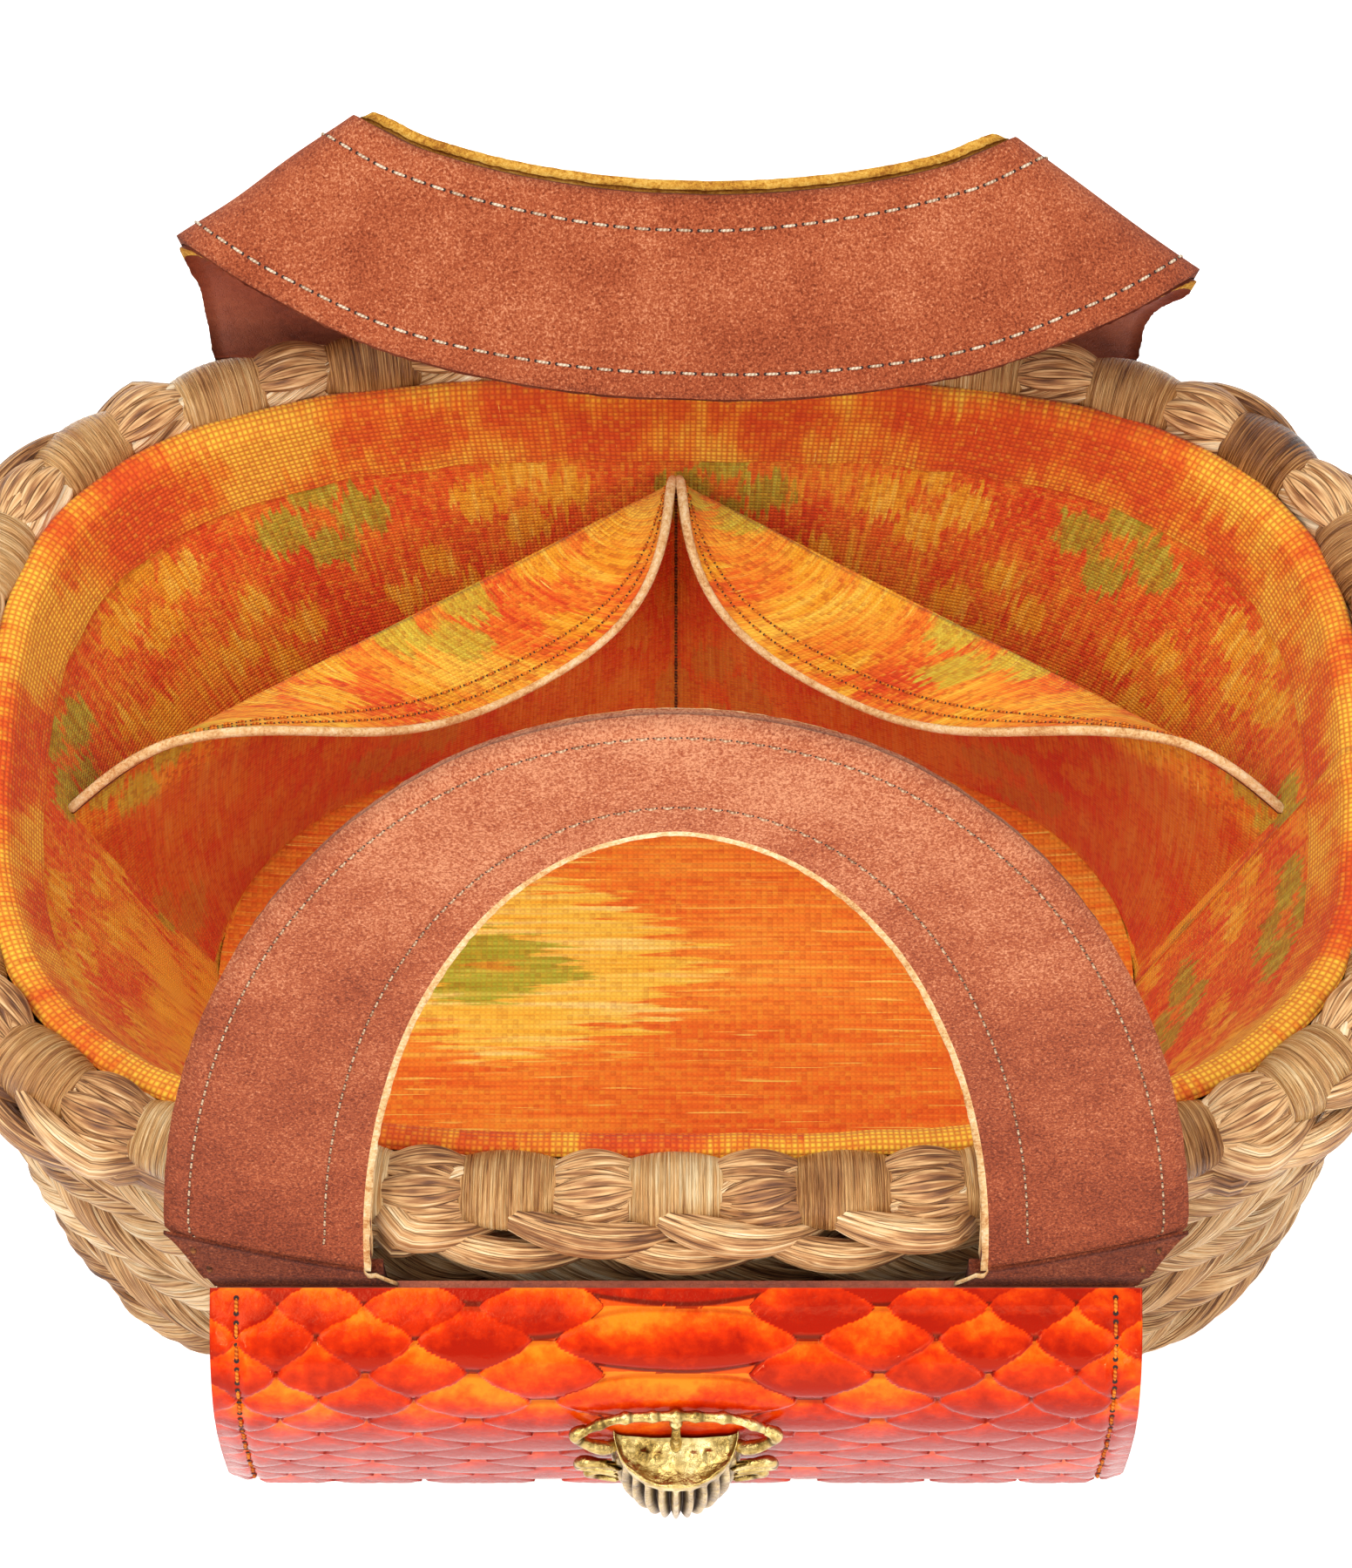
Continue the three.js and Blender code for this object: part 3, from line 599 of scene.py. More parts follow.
# For each place: thread pitch, shift and period of the figures and stretch along the thread, all in
# millimetres; how far single threads and bundles slip; and the strength of each part of the dye
IKAT = {
    "wall": dict(
        pitch=0.7, shift=(25.0, -66.0), period=(34.0, 20.0), stretch=1.0, slip=(3.4, 6.0),
        streak=0.8, pool=0.9, ground=RED_GROUND, yellow=YELLOW, green=OLIVE,
        figure=0.85, speck=0.34, flecks=(0.7, 0.76), gap=0.22,
    ),
    "floor": dict(
        pitch=1.0, shift=(-4.5, 29.0), period=None, stretch=3.2, slip=(9.0, 16.0),
        streak=0.9, pool=0.9, ground=FLOOR_GROUND, yellow=PALE_YELLOW, green=LEAF,
        figure=0.9, speck=0.22, flecks=(0.62, 0.68), gap=0.2,
    ),
    "pocket": dict(
        pitch=0.7, shift=(8.0, -48.0), period=(30.0, 19.0), stretch=1.2, slip=(2.6, 6.0),
        streak=0.8, pool=1.5, ground=POCKET_GROUND, yellow=YELLOW, green=PALE_OLIVE,
        figure=0.85, speck=0.38, flecks=(0.66, 0.73), gap=0.2,
    ),
    "hem": dict(
        pitch=0.85, shift=(0.0, 0.0), period=(34.0, 40.0), stretch=1.0, slip=(3.0, 5.0),
        streak=0.6, pool=2.6, ground=HEM_GROUND, yellow=YELLOW, green=OLIVE,
        figure=0.0, speck=0.3, flecks=(0.7, 0.75), gap=0.7,
    ),
}


def ikat_flowers(m, across, reach, worn, period):
    """Four petals round a heart, in staggered rows. Gives the figure, its green share and its heart."""
    row = reach / period[1]
    row_index = m.floor(row)
    odd_row = m.odd(row_index)
    column = odd_row * 0.5 + across / period[0]
    column_index = m.floor(column)
    x = abs((column - column_index - 0.5) * period[0])
    y = abs((row - row_index - 0.5) * period[1])
    side = m.length((x - 7.0) / 4.8, y / 4.6)
    ends = m.length(x / 4.2, (y - 6.6) / 4.6)
    figure = odd_row * 0.2 + m.vary(m.math("MINIMUM", side, ends), (worn, 1.5))
    greenish = m.odd(column_index + 1.0) * (1.0 - odd_row)
    return m.below(figure, 0.85, 1.15), greenish, m.below(m.length(x, y), 2.0, 3.4)


def ikat_floor_figure(m, across, reach, worn):
    """One wide figure with a green middle."""
    wide = m.vary(m.length(across / 19.0, reach / 9.5), (worn, 1.2))
    low = reach + 1.8
    near = m.vary(m.length(across / 8.5, low / 4.6), (worn, 1.6))
    heart = m.below(m.length(across, low), 0.8, 1.8)
    return m.below(wide, 0.85, 1.1), m.below(near, 0.8, 1.05), heart


def ikat_material(kind):
    """Plain woven cotton, warm-dyed with figures whose edges run along one thread direction.

    On a wall the dyed threads stand upright, and on the floor they lie across the bag.
    """
    look = IKAT[kind]
    m = Shader(f"ikat_{kind}")
    u, v = m.uv()
    across, run = (v, u) if kind == "floor" else (u, v)
    across, run = across + look["shift"][0], run + look["shift"][1]
    jitter = m.node("TexWhiteNoise", {"W": m.floor(across / look["pitch"])}, noise_dimensions="1D")
    bundle = m.noise(m.vector(across * 0.8, 3.7), 1.0, 2.0, 0.6)
    slip = m.vary((jitter - 0.5) * look["slip"][0], (bundle, look["slip"][1]))
    reach = (run + slip) / look["stretch"]

    def dye(across_scale, reach_scale, seed, detail, rough):
        return m.noise(m.vector(across * across_scale, reach * reach_scale, seed), 1.0, detail, rough)

    streak = dye(0.9, 0.09, 1.3, 3.0, 0.6)
    level = m.vary(0.5, (streak, look["streak"]), (dye(0.05, 0.045, 7.9, 3.0, 0.55), look["pool"]))
    worn = dye(0.7, 0.25, 5.0, 2.0, 0.6)
    if look["period"]:
        figure, greenish, heart = ikat_flowers(m, across, reach, worn, look["period"])
    else:
        figure, greenish, heart = ikat_floor_figure(m, across, reach, worn)
    dyed = m.mix(greenish, m.ramp(streak, look["yellow"]), m.ramp(streak, look["green"]))
    colour = m.mix(figure * look["figure"], m.ramp(level, look["ground"]), dyed)
    colour = m.mix(heart * (0.6 * look["figure"]), colour, (236, 128, 34))

    cell = m.vector(m.floor(u / look["pitch"]), m.floor(v / look["pitch"]))
    crossing = m.node("TexWhiteNoise", {"Vector": cell}, noise_dimensions="2D")
    colour = m.mix(m.steps(crossing, 0.62, 0.98) * look["speck"], colour, (236, 176, 48))
    colour = m.mix(m.below(crossing, 0.02, 0.4) * look["speck"], colour, (160, 34, 14))
    flecks = m.steps(dye(1.4, 0.12, 11.0, 2.0, 0.7), *look["flecks"])
    colour = m.mix(flecks * 0.85, colour, (250, 206, 92))
    if kind == "wall":
        ends = m.below(abs(abs(u) - LINING_GIRTH / 4), 25.0, 80.0)
        gold = ends * m.below(v, 38.0, 66.0) * m.steps(level, 0.3, 0.6)
        colour = m.mix(gold * 0.85, colour, (250, 176, 44))
    if kind == "pocket":
        # Painted shade: the pocket's lower part, deep inside the bag, is mixed towards a dark red.
        colour = m.mix(m.below(v, 45.0, 52.0) * 0.62, colour, (204, 46, 20))
    turn = math.pi / look["pitch"]
    weave = abs(m.math("SINE", u * turn) * m.math("SINE", v * turn))
    m.bump(weave, 0.6, 0.0004)
    colour = m.mix((1.0 - weave) * look["gap"], colour, (186, 48, 18))
    m.finish(colour, 0.85, Sheen_Weight=0.05, Specular_IOR_Level=0.2)


def scale_leather_material():
    """Glossy snakeskin.

    lens is 0 at a scale's middle and 1 at its outline, and rise grows towards its upper edge.
    """
    m = Shader("scale_leather")
    place = m.place()
    lens, rise, shade = m.layer("lens"), m.layer("rise"), m.layer("shade")
    fine = m.noise(place, 420.0, 4.0, 0.65)
    broad = m.noise(place, 75.0, 3.0, 0.5)
    # Painted shade: the flap's skin is made darker towards its bottom, where it reflects a dimmer surround.
    low = m.below(m.split(place)[2], 0.048, 0.07)
    # Painted highlight: each scale is paler towards its upper edge.
    level = rise * 0.3 + (m.vary(0.5, (broad, 0.8), (fine, 0.5)) - 0.08)
    level = low * -0.2 + m.vary(level, (shade, 0.24))
    tones = [(0.26, (156, 14, 2)), (0.46, (198, 38, 2)), (0.6, (222, 72, 4)), (0.8, (244, 122, 20))]
    body = m.ramp(level, tones)
    skin = m.ramp(level, [(0.36, (216, 70, 10)), (0.66, (240, 116, 24))])
    # Each scale's dark outline is its own colour, and painted shade makes it darker along the lower arc,
    # where the free edge stands out over the next scale.
    line = m.below(abs(lens - 1.0), 0.03, 0.15) * (m.below(rise, -0.3, 0.9) * 0.5 + 0.45)
    colour = m.mix(line, m.mix(m.below(lens, 1.02, 1.14), skin, body), (96, 10, 4))
    scratches = m.noise(place, 1100.0, 3.0, 0.7)
    m.bump(fine * 0.7 + scratches * 0.3, 0.3, 0.0006)
    m.finish(colour, fine * 0.16 + 0.02, Specular_IOR_Level=0.4, Specular_Tint=(1.0, 0.36, 0.16, 1.0))


def pouch_skin_material():
    m = Shader("pouch_skin")
    body = m.cells(170.0, 0.1)
    fine = m.noise(m.place(), 380.0, 4.0, 0.6)
    m.bump(body, 0.6, 0.0006)
    colour = m.mix(body, (186, 42, 12), m.ramp(fine, [(0.36, (200, 44, 12)), (0.64, (230, 80, 18))]))
    m.finish(colour, 0.28, Specular_IOR_Level=0.6)


def brass_material():
    m = Shader("brass")
    fine = m.noise(m.place(), 900.0, 4.0, 0.6)
    broad = m.noise(m.place(), 160.0, 3.0, 0.6)
    crease = m.layer("crease")
    tones = [(0.33, (80, 58, 26)), (0.44, (146, 118, 62)), (0.56, (192, 166, 104)), (0.7, (232, 214, 160))]
    m.bump(fine * 0.4 + broad, 0.45, 0.0012)
    rough = crease * 0.35 + (broad * 0.25 + 0.1)
    # The crease layer darkens the brass: patina in the grooves of the ribs and rods, and painted shade at
    # the back of the dish.
    m.finish(m.mix(crease, m.ramp(fine * 0.4 + broad * 0.6, tones), (58, 38, 16)), rough, Metallic=1.0)


def plain_material(name, colour, rough):
    m = Shader(name)
    fine = m.noise(m.place(), 1200.0, 3.0, 0.6)
    m.bump(fine, 0.3, 0.0003)
    m.finish(m.ramp(fine, [(0.3, tuple(c * 0.6 for c in colour)), (0.6, colour)]), rough)


STRAW_TONES = [
    (0.12, (92, 50, 22)), (0.32, (160, 106, 58)), (0.5, (214, 164, 108)), (0.66, (238, 198, 146)),
    (0.84, (250, 230, 192)),
]
WRAP_TONES = [
    (0.1, (60, 30, 12)), (0.3, (126, 72, 32)), (0.5, (192, 132, 74)), (0.68, (228, 176, 112)),
    (0.88, (248, 218, 168)),
]
materials = {}


def add_materials():
    fibre_material("straw", STRAW_TONES, 0.4, 1.0)
    fibre_material("wrap_fibre", WRAP_TONES, 0.12, 0.65)
    suede_material("suede", 1.0)
    # The darker copy of the suede is painted shade, for the tabs, the crease strips and the edges of the
    # handles' suede.
    suede_material("shaded_suede", 0.8)
    smooth_leather_material("inner_leather", (120, 52, 34), (158, 78, 52), (182, 100, 68))
    smooth_leather_material("trim_leather", (84, 34, 24), (116, 52, 34), (146, 72, 48))
    raw_edge_material("raw_edge", (196, 132, 76), (232, 188, 130), (246, 220, 176))
    raw_edge_material("yellow_edge", (150, 88, 30), (204, 146, 54), (230, 184, 92))
    thread_material("white_thread", (170, 138, 108), (236, 216, 188))
    thread_material("tan_thread", (140, 96, 66), (222, 190, 154))
    thread_material("dark_thread", (70, 36, 20), (140, 84, 44))
    thread_material("orange_thread", (170, 70, 14), (240, 140, 40))
    for kind in IKAT:
        ikat_material(kind)
    scale_leather_material()
    pouch_skin_material()
    brass_material()
    # Needle holes are flat dark discs: painted shade in place of the holes.
    plain_material("needle_hole", (48, 22, 14), 0.9)
    plain_material("steel", (168, 168, 166), 0.35)
    plain_material("board", (160, 140, 108), 0.9)


# Rope: strands wound round a path at a height
def wound(path, turn, height, swing, angle, flatness=1.0):
    """A line at an angle round the path, and the direction from the path to it."""
    centre, normal = path.at(turn, swing * np.cos(angle))
    centre[:, 2] = height + swing * flatness * np.sin(angle)
    return centre, normal * np.cos(angle)[:, None] + np.array([0, 0, 1]) * np.sin(angle)[:, None]


ROW_TWISTS = 12
ROW_SWING = 2.6
ROW_STRAND = 3.8
ROW_STRAND_SIDES = 28


def strand_ring(path, height, phase, hand, seed, tone):
    """One of a row's two strands: it winds round the row's middle and shows as leaning lenses."""
    count = int(path.length / 1.6)
    turn = np.linspace(0, 1, count, endpoint=False)
    wander = smooth_noise((count, 2), (ROW_TWISTS * 3, 1), seed)[:, 0]
    wander = wander * np.minimum(1, np.minimum(turn, 1 - turn) * 40)
    angle = hand * 2 * math.pi * ROW_TWISTS * turn + phase + 0.25 * wander
    centre, radial = wound(path, turn, height, ROW_SWING * (1 + 0.12 * wander), angle, 1.12)
    fat = ROW_STRAND * (1 + 0.1 * np.roll(wander, 7))
    ridges = dict(lobes=7, lobe_depth=0.06, lobe_turns=ROW_TWISTS)
    tones = tone + 0.12 * np.repeat(wander, ROW_STRAND_SIDES)
    return tube(centre, radial, fat * 0.9, fat * 1.16, ROW_STRAND_SIDES, closed=True, tone=tones, **ridges)


def add_rows():
    for k in range(1, ROW_COUNT + 1):
        low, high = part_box(f"wall_row_{k}")
        height = (low[2] + high[2]) / 2 / MM
        hand = 1 if k % 2 else -1
        parts = []
        for half in (0, 1):
            tone = 0.5 + rng.uniform(-0.1, 0.1)
            phase = math.pi * half + 1.9 * k
            parts.append(strand_ring(row_path(height), height, phase, hand, 100 + 10 * k + half, tone))
        fibre_piece(f"row_strands_{k}", parts, f"wall_row_{k}")


# Rim: stems pinched under the wraps, wraps of flat fibre, and stems that turn down outside
RIM_STEMS = 5
RIM_STEM_TURNS = 9
STEM_RIDGES = dict(lobes=9, lobe_depth=0.06)


def add_rim():
    path = row_path(RIM_HEIGHT)
    turn = np.linspace(0, 1, int(path.length / 1.2), endpoint=False)
    # 0 under a wrap and 1 midway between two wraps
    bare = np.clip(0.5 + 0.75 * np.cos(2 * math.pi * ((turn * WRAP_COUNT) % 1)), 0, 1)
    parts = []
    for k in range(RIM_STEMS):
        lag = 2 * math.pi / RIM_STEMS * k + 0.7
        angle = lag + 2 * math.pi * RIM_STEM_TURNS * turn + 0.5 * np.sin(2 * math.pi * 5 * turn + k)
        centre, radial = wound(path, turn, RIM_HEIGHT, 2.3 + 0.9 * bare, angle)
        fat = 2.2 + 0.55 * bare
        ridges = dict(lobes=5, lobe_depth=0.07, lobe_turns=24)
        parts.append(tube(centre, radial, fat, fat * 1.25, 18, closed=True, tone=0.45 + 0.06 * k, **ridges))
    fibre_piece("rim_stems", parts, "rim_rope")
    add_crossed_stems(path)
    add_turned_stems(path)
    for k in range(WRAP_COUNT):
        add_wrap(path, k)


def add_crossed_stems(path):
    """Flat stems that leave one wrap and dive under the next, crossing over each other on the way."""
    parts = []
    share = np.linspace(0, 1, 22)
    swell = np.sin(math.pi * share)
    for k in range(WRAP_COUNT):
        bundle_tone = rng.uniform(0.26, 0.46)
        for course in range(6):
            start = k + 0.76 + rng.uniform(-0.05, 0.02)
            end = k + 1.24 + rng.uniform(-0.02, 0.05)
            hand = 1 if course % 2 else -1
            middle = 0.52 * course - 0.55 + rng.uniform(-0.1, 0.1)
            angle = middle + hand * (share - 0.5) * rng.uniform(0.05, 0.4)
            turn = (start + (end - start) * share) / WRAP_COUNT
            over = 0.55 if hand > 0 else 0.0
            centre, radial = wound(path, turn, RIM_HEIGHT, 4.4 + (1.15 + over) * swell**0.8, angle)
            tone = bundle_tone + rng.uniform(-0.05, 0.05)
            thick, wide = 0.6 + 0.6 * swell, 1.3 + 1.7 * swell
            parts.append(tube(centre, radial, thick, wide, 26, tone=tone, **STEM_RIDGES))
    fibre_piece("crossed_stems", parts)


def room_outside(place):
    """How far a stem may reach out from the rim's middle: less beside the legs of the handles."""
    x = np.abs(place[:, 0])
    return 10.4 - 5.1 * share_of(44, 49, x) * share_of(94, 89, x)


# Start between the wraps, lift, half width and half thickness of the two stems at each wrap
TURNED_STEMS = ((0.30, 1.8, 4.3, 2.1), (0.84, -4.2, 4.0, 1.9))


def add_turned_stems(path):
    """Outside the rim each stem comes out between two wraps, swells and dives under the next one."""
    parts = []
    share = np.linspace(0, 1, 28)
    swell = np.sin(math.pi * share)
    for k in range(WRAP_COUNT):
        for start, lift, wide, thick in TURNED_STEMS:
            start = start + rng.uniform(-0.05, 0.05)
            turn = (k + start + (1.22 + rng.uniform(-0.06, 0.1)) * share) / WRAP_COUNT
            depth = thick * (0.45 + 0.75 * swell)
            room = room_outside(path.at(turn)[0]) - depth
            centre, normal = path.at(turn, np.minimum(2.2 + 5.6 * swell**0.7, room))
            centre[:, 2] = RIM_HEIGHT + lift - 7.0 * share**1.1 - 0.8 * swell - 1.6 * (1 - share) ** 8
            reach = wide * (0.28 + 0.8 * swell**0.75)
            tone = rng.uniform(0.22, 0.5)
            parts.append(tube(centre, normal, depth, reach, 26, lobes=9, lobe_depth=0.05, tone=tone))
    fibre_piece("turned_stems", parts)


# Tone of each wrap, from the right end round by the rear, left and front
WRAP_SHADES = [
    0.58, 0.43, 0.23, 0.5, 0.63, 0.58, 0.68, 0.58, 0.36, 0.58, 0.48, 0.7, 0.53,
    0.58, 0.38, 0.5, 0.63, 0.7, 0.58, 0.74, 0.48, 0.64, 0.43, 0.58, 0.68, 0.53,
]
WRAP_STEPS = 64
WRAP_SIDES = 30
WRAP_SPILL = 0.06


def add_wrap(path, k):
    """Flat fibre wound side by side, fuller in the middle and drawn in at both ends."""
    share = np.linspace(0, 1, WRAP_STEPS)
    turn = (k + WRAP_START - WRAP_SPILL + (WRAP_END - WRAP_START + 2 * WRAP_SPILL) * share) / WRAP_COUNT
    centre, normal = path.at(turn)
    centre[:, 2] = RIM_HEIGHT
    angle = np.linspace(0, 2 * math.pi, WRAP_SIDES, endpoint=False)
    winding = (15 + k % 3) * share[:, None] + 0.175 * np.cos(angle + k)[None, :]
    band = np.abs(np.sin(math.pi * winding))
    reach = 4.7 + 2.0 * np.sin(math.pi * share)[:, None] ** 0.7 + 0.1 * band**0.5
    points, faces, _, _ = tube(centre, normal, 1, 1, WRAP_SIDES)
    ring, ends = np.split(points, [WRAP_STEPS * WRAP_SIDES])
    spokes = ring.reshape(WRAP_STEPS, WRAP_SIDES, 3) - centre[:, None, :]
    points = np.concatenate([(centre[:, None, :] + spokes * reach[..., None]).reshape(-1, 3), ends])
    length = path.length / WRAP_COUNT * (WRAP_END - WRAP_START)
    fold = np.abs(np.linspace(-1, 1, WRAP_SIDES, endpoint=False)) * math.pi * 7
    uv = np.stack([np.tile(fold, WRAP_STEPS) + 31 * k, np.repeat(share * length * 2.4, WRAP_SIDES)], -1)
    uv = np.concatenate([uv, np.zeros((2, 2))])
    tone = WRAP_SHADES[k] + 0.03 * np.sin(7 * k + winding * 2.9) - 0.06 * (1 - band**0.35)
    tone = np.concatenate([tone.ravel(), [0.3, 0.3]])
    fibre_piece(f"wrap_{k + 1}", [(points, faces, uv, tone)], f"rim_wrap_{k + 1}", "wrap_fibre")


# Base: straight twined rows side by side, cut to the oval
BASE_PITCH = 11
BASE_TWIST_LENGTH = 50


def add_base():
    path = row_path(0)
    parts = []
    reach_y = path.half_depth - 7
    for k in range(-6, 7):
        y = k * BASE_PITCH
        if abs(y) > reach_y - 5:
            continue
        half = (path.half_width - 8) * (1 - abs(y / reach_y) ** SQUARENESS) ** (1 / SQUARENESS)
        x = np.linspace(-half, half, int(2 * half / 1.8))
        for side in (0, 1):
            hand = 1 if k % 2 else -1
            angle = hand * 2 * math.pi * x / BASE_TWIST_LENGTH + math.pi * side + 1.3 * k
            centre = points_of(x, y + 2.3 * np.cos(angle), 4.1 + 0.9 * np.sin(angle))
            radial = points_of(0, np.cos(angle), np.sin(angle))
            tone = 0.5 + rng.uniform(-0.08, 0.08)
            part = tube(centre, radial, 3.0, 3.2, 14, lobes=5, lobe_depth=0.07, lobe_turns=4, tone=tone)
            part[0][:, 2] = np.maximum(part[0][:, 2], 0.02)
            parts.append(part)
    fibre_piece("base_strands", parts)


# Lining: the wall, the hem and the floor
LINING_COLUMNS = 420
LINING_ROWS = 60
HEM_COLUMNS = 480
# The hem's section over its top edge: rise above it, and distance out from the mouth
HEM_LIP = [(0.1, -1.75), (0.65, -1.0), (1.05, -0.1), (1.15, 0.8), (0.9, 1.55), (0.0, 1.7)]


def add_lining():
    shape = (LINING_COLUMNS, LINING_ROWS)
    heights = np.linspace(FLOOR_TOP + 0.4, LINING_TOP, LINING_ROWS)
    turns = np.linspace(0, 1, LINING_COLUMNS)
    waves = smooth_noise(shape, (26, 4), 31)
    waves[-1] = waves[0]
    calm = np.minimum(1, np.minimum(turns, 1 - turns) * 30)[:, None]
    folds = smooth_noise(shape, (60, 2), 32) * share_of(60, 15, heights)[None, :] * 1.5 * calm
    arch = np.sin(math.pi * np.linspace(0, 1, LINING_ROWS))[None, :] ** 0.5
    inset = 0.5 + 0.45 * (1 + waves * calm) * arch + np.abs(folds)
    surface = np.empty((*shape, 3))
    for j, height in enumerate(heights):
        surface[:, j], _ = lining_path(height).at(turns, -inset[:, j])
        surface[:, j, 2] = height
    points, faces, _, _ = thick_sheet(surface, 0.5)
    uv = both_faces((turns[:, None] - REAR) * LINING_GIRTH, heights[None, :] * 1.05)
    wall = piece(
        "lining_cloth", points, faces, "ikat_wall", "basket", slot="ikat", node="lining_wall", uv=uv
    )
    declare_sheet(surface)


def add_hem():
    """The lining's hem, whose top edge is turned out against the rope."""
    turns = np.linspace(0, 1, HEM_COLUMNS)
    ripple = smooth_noise((HEM_COLUMNS, 2), (90, 1), 41)[:, 0] * 0.22
    ripple[-1] = ripple[0]
    rows = [(height, -2.0) for height in np.linspace(LINING_TOP - HEM_HEIGHT, LINING_TOP - 0.5, 12)]
    rows[0] = (rows[0][0], -1.55)
    rows += [(LINING_TOP + rise, out) for rise, out in HEM_LIP]
    rope, _ = row_path(RIM_HEIGHT).at(np.linspace(0, 1, 900, endpoint=False))
    edge, _ = lining_path(LINING_TOP).at(turns)
    gap = np.array([np.hypot(*(rope[:, :2] - place[:2]).T).min() for place in edge])
    more = np.clip(gap - (WRAP_RADIUS + LINING_THICKNESS + SOFT_GAP), 0, 3) + 0.6
    surface = np.empty((HEM_COLUMNS, len(rows), 3))
    for j, (height, out) in enumerate(rows):
        outs = out + ripple + more * share_of(-1.75, 1.65, out)
        surface[:, j], _ = lining_path(height).at(turns, outs)
        surface[:, j, 2] = height + (ripple * 1.5 if j < 2 else 0)
    points, faces, _, _ = thick_sheet(surface, 0.6)
    uv = both_faces((turns * LINING_GIRTH)[:, None], path_length(np.array(rows))[None, :])
    hem = piece("hem_cloth", points, faces, "ikat_hem", "basket", slot="ikat", node="lining_hem", uv=uv)
    declare_sheet(surface)


def add_floor_cloth():
    rings, turns = 60, 240
    share = np.linspace(0, 1, rings + 1)[1:, None] ** 0.8
    edge, _ = lining_path(FLOOR_TOP).at(np.linspace(0, 1, turns, endpoint=False), -0.9)
    surface = edge[None, :, :] * share[..., None]
    swell = smooth_noise((rings, turns), (3, 6), 51) * (1 - share) * 0.35
    surface[..., 2] = FLOOR_TOP + 0.25 + np.abs(swell) + 1.3 * share**14
    points = np.concatenate([surface.reshape(-1, 3), [[0, 0, FLOOR_TOP + 0.3]]])
    middle = rings * turns
    fan = [[k, (k + 1) % turns, middle, middle] for k in range(turns)]
    faces = np.concatenate([grid_quads(rings, turns, wrap_columns=True), fan])
    uv = points[:, :2]
    cloth = piece(
        "floor_cloth", points, faces, "ikat_floor", "basket", slot="ikat", node="floor_lining", uv=uv
    )
    x, y = surface[-1, :, 0], surface[-1, :, 1]
    area = 0.5 * abs(np.sum(x * np.roll(y, -1) - y * np.roll(x, -1))) * MM * MM


# Pocket on the rear wall
POCKET_COLUMNS = 241
POCKET_TOP = RIM_HEIGHT - 16
POCKET_END_DROP = 6
POCKET_FOOT = FLOOR_FOOT + LINING_THICKNESS + 2.5
POCKET_REACH = 0.246
POCKET_FLOP = 21
POCKET_FLOP_TURN = math.radians(130)
POCKET_OUT = -(SOFT_GAP + 2.2)


def pocket_lines(across):
    """The panel's foot, fold and free edge at each place across, from -1 to 1."""
    share = np.abs(across)
    side = np.where(across < 0, -1.0, 1.0)
    foot, _ = lining_path(POCKET_FOOT).at(REAR - across * POCKET_REACH, POCKET_OUT + 2.4 * share**8)
    foot[:, 2] = POCKET_FOOT
    top = lining_path(POCKET_TOP)
    middle, _ = top.at(np.full_like(across, REAR), np.full_like(across, POCKET_OUT))
    end, _ = top.at(REAR - side * POCKET_REACH, np.full_like(across, POCKET_OUT))
    fold = middle + (end - middle) * share[:, None]
    fold[:, 2] = POCKET_TOP - POCKET_END_DROP * share_of(0.84, 1, share) ** 1.4
    chord = unit(end - middle)
    inward = points_of(side * chord[:, 1], -side * chord[:, 0], 0)
    slack = np.sin(math.pi * share**0.62) ** 1.15
    turn = POCKET_FLOP_TURN * slack
    edge = fold + inward * (POCKET_FLOP * slack * np.sin(turn))[:, None]
    edge[:, 2] += POCKET_FLOP * slack * np.cos(turn)
    return foot, fold, edge, inward


def add_pocket():
    across = np.linspace(-1, 1, POCKET_COLUMNS)
    foot, fold, edge, inward = (line[:, None, :] for line in pocket_lines(across))
    slack = np.sin(math.pi * np.abs(across))[:, None]
    down = np.linspace(0, 1, 44)[None, :]
    wave = smooth_noise((POCKET_COLUMNS, 44), (9, 3), 61)
    body = foot + (fold - foot) * down[..., None]
    body += inward * (np.sin(math.pi * down) * slack * (1.2 + 1.2 * wave))[..., None]
    lap = np.linspace(0, 1, 18)[None, 1:]
    flop = fold + (edge - fold) * lap[..., None]
    flop[..., 2] += 1.2 * np.sin(math.pi * lap) * slack
    surface = np.concatenate([body, flop], axis=1)
    normal = normals(surface)
    points, faces, _, uv = thick_sheet(surface, 0.8)
    panel = piece(
        "pocket_cloth", points, faces, "ikat_pocket", "basket", slot="ikat", node="pocket_panel", uv=uv
    )
    toward = unit(surface[:, -1] - surface[:, -3])
    points, faces, uv, _ = tube(surface[:, -1] + toward * 0.3, normal[:, -1], 0.95, 0.8, 10)
    welt = piece(
        "pocket_edge", points, faces, "raw_edge", "basket", slot="pale_leather", node="pocket_trim", uv=uv
    )
    points, faces, _, uv = thick_sheet(surface[:, -8:], 0.5, lift=0.8)
    strip = piece("pocket_strip", points, faces, "trim_leather", "basket", slot="smooth_leather", uv=uv)
    runs = [(surface[:, row] - normal[:, row] * 0.5, -normal[:, row]) for row in (-3, -5)]
    stitches("pocket_stitches", "basket", runs, "orange_thread", "pocket_edge")
    middle = POCKET_COLUMNS // 2
    ends = [line[middle, 0] * [0, 1, 1] - [0, 0.6, 0] for line in (foot, fold)]
    seam = np.linspace(*ends, 60)
    facing = np.tile([0, -1.0, 0.2], (60, 1))
    stitches("pocket_seam", "basket", [(seam, facing)], "dark_thread", "pocket_middle")
    declare_sheet(surface)


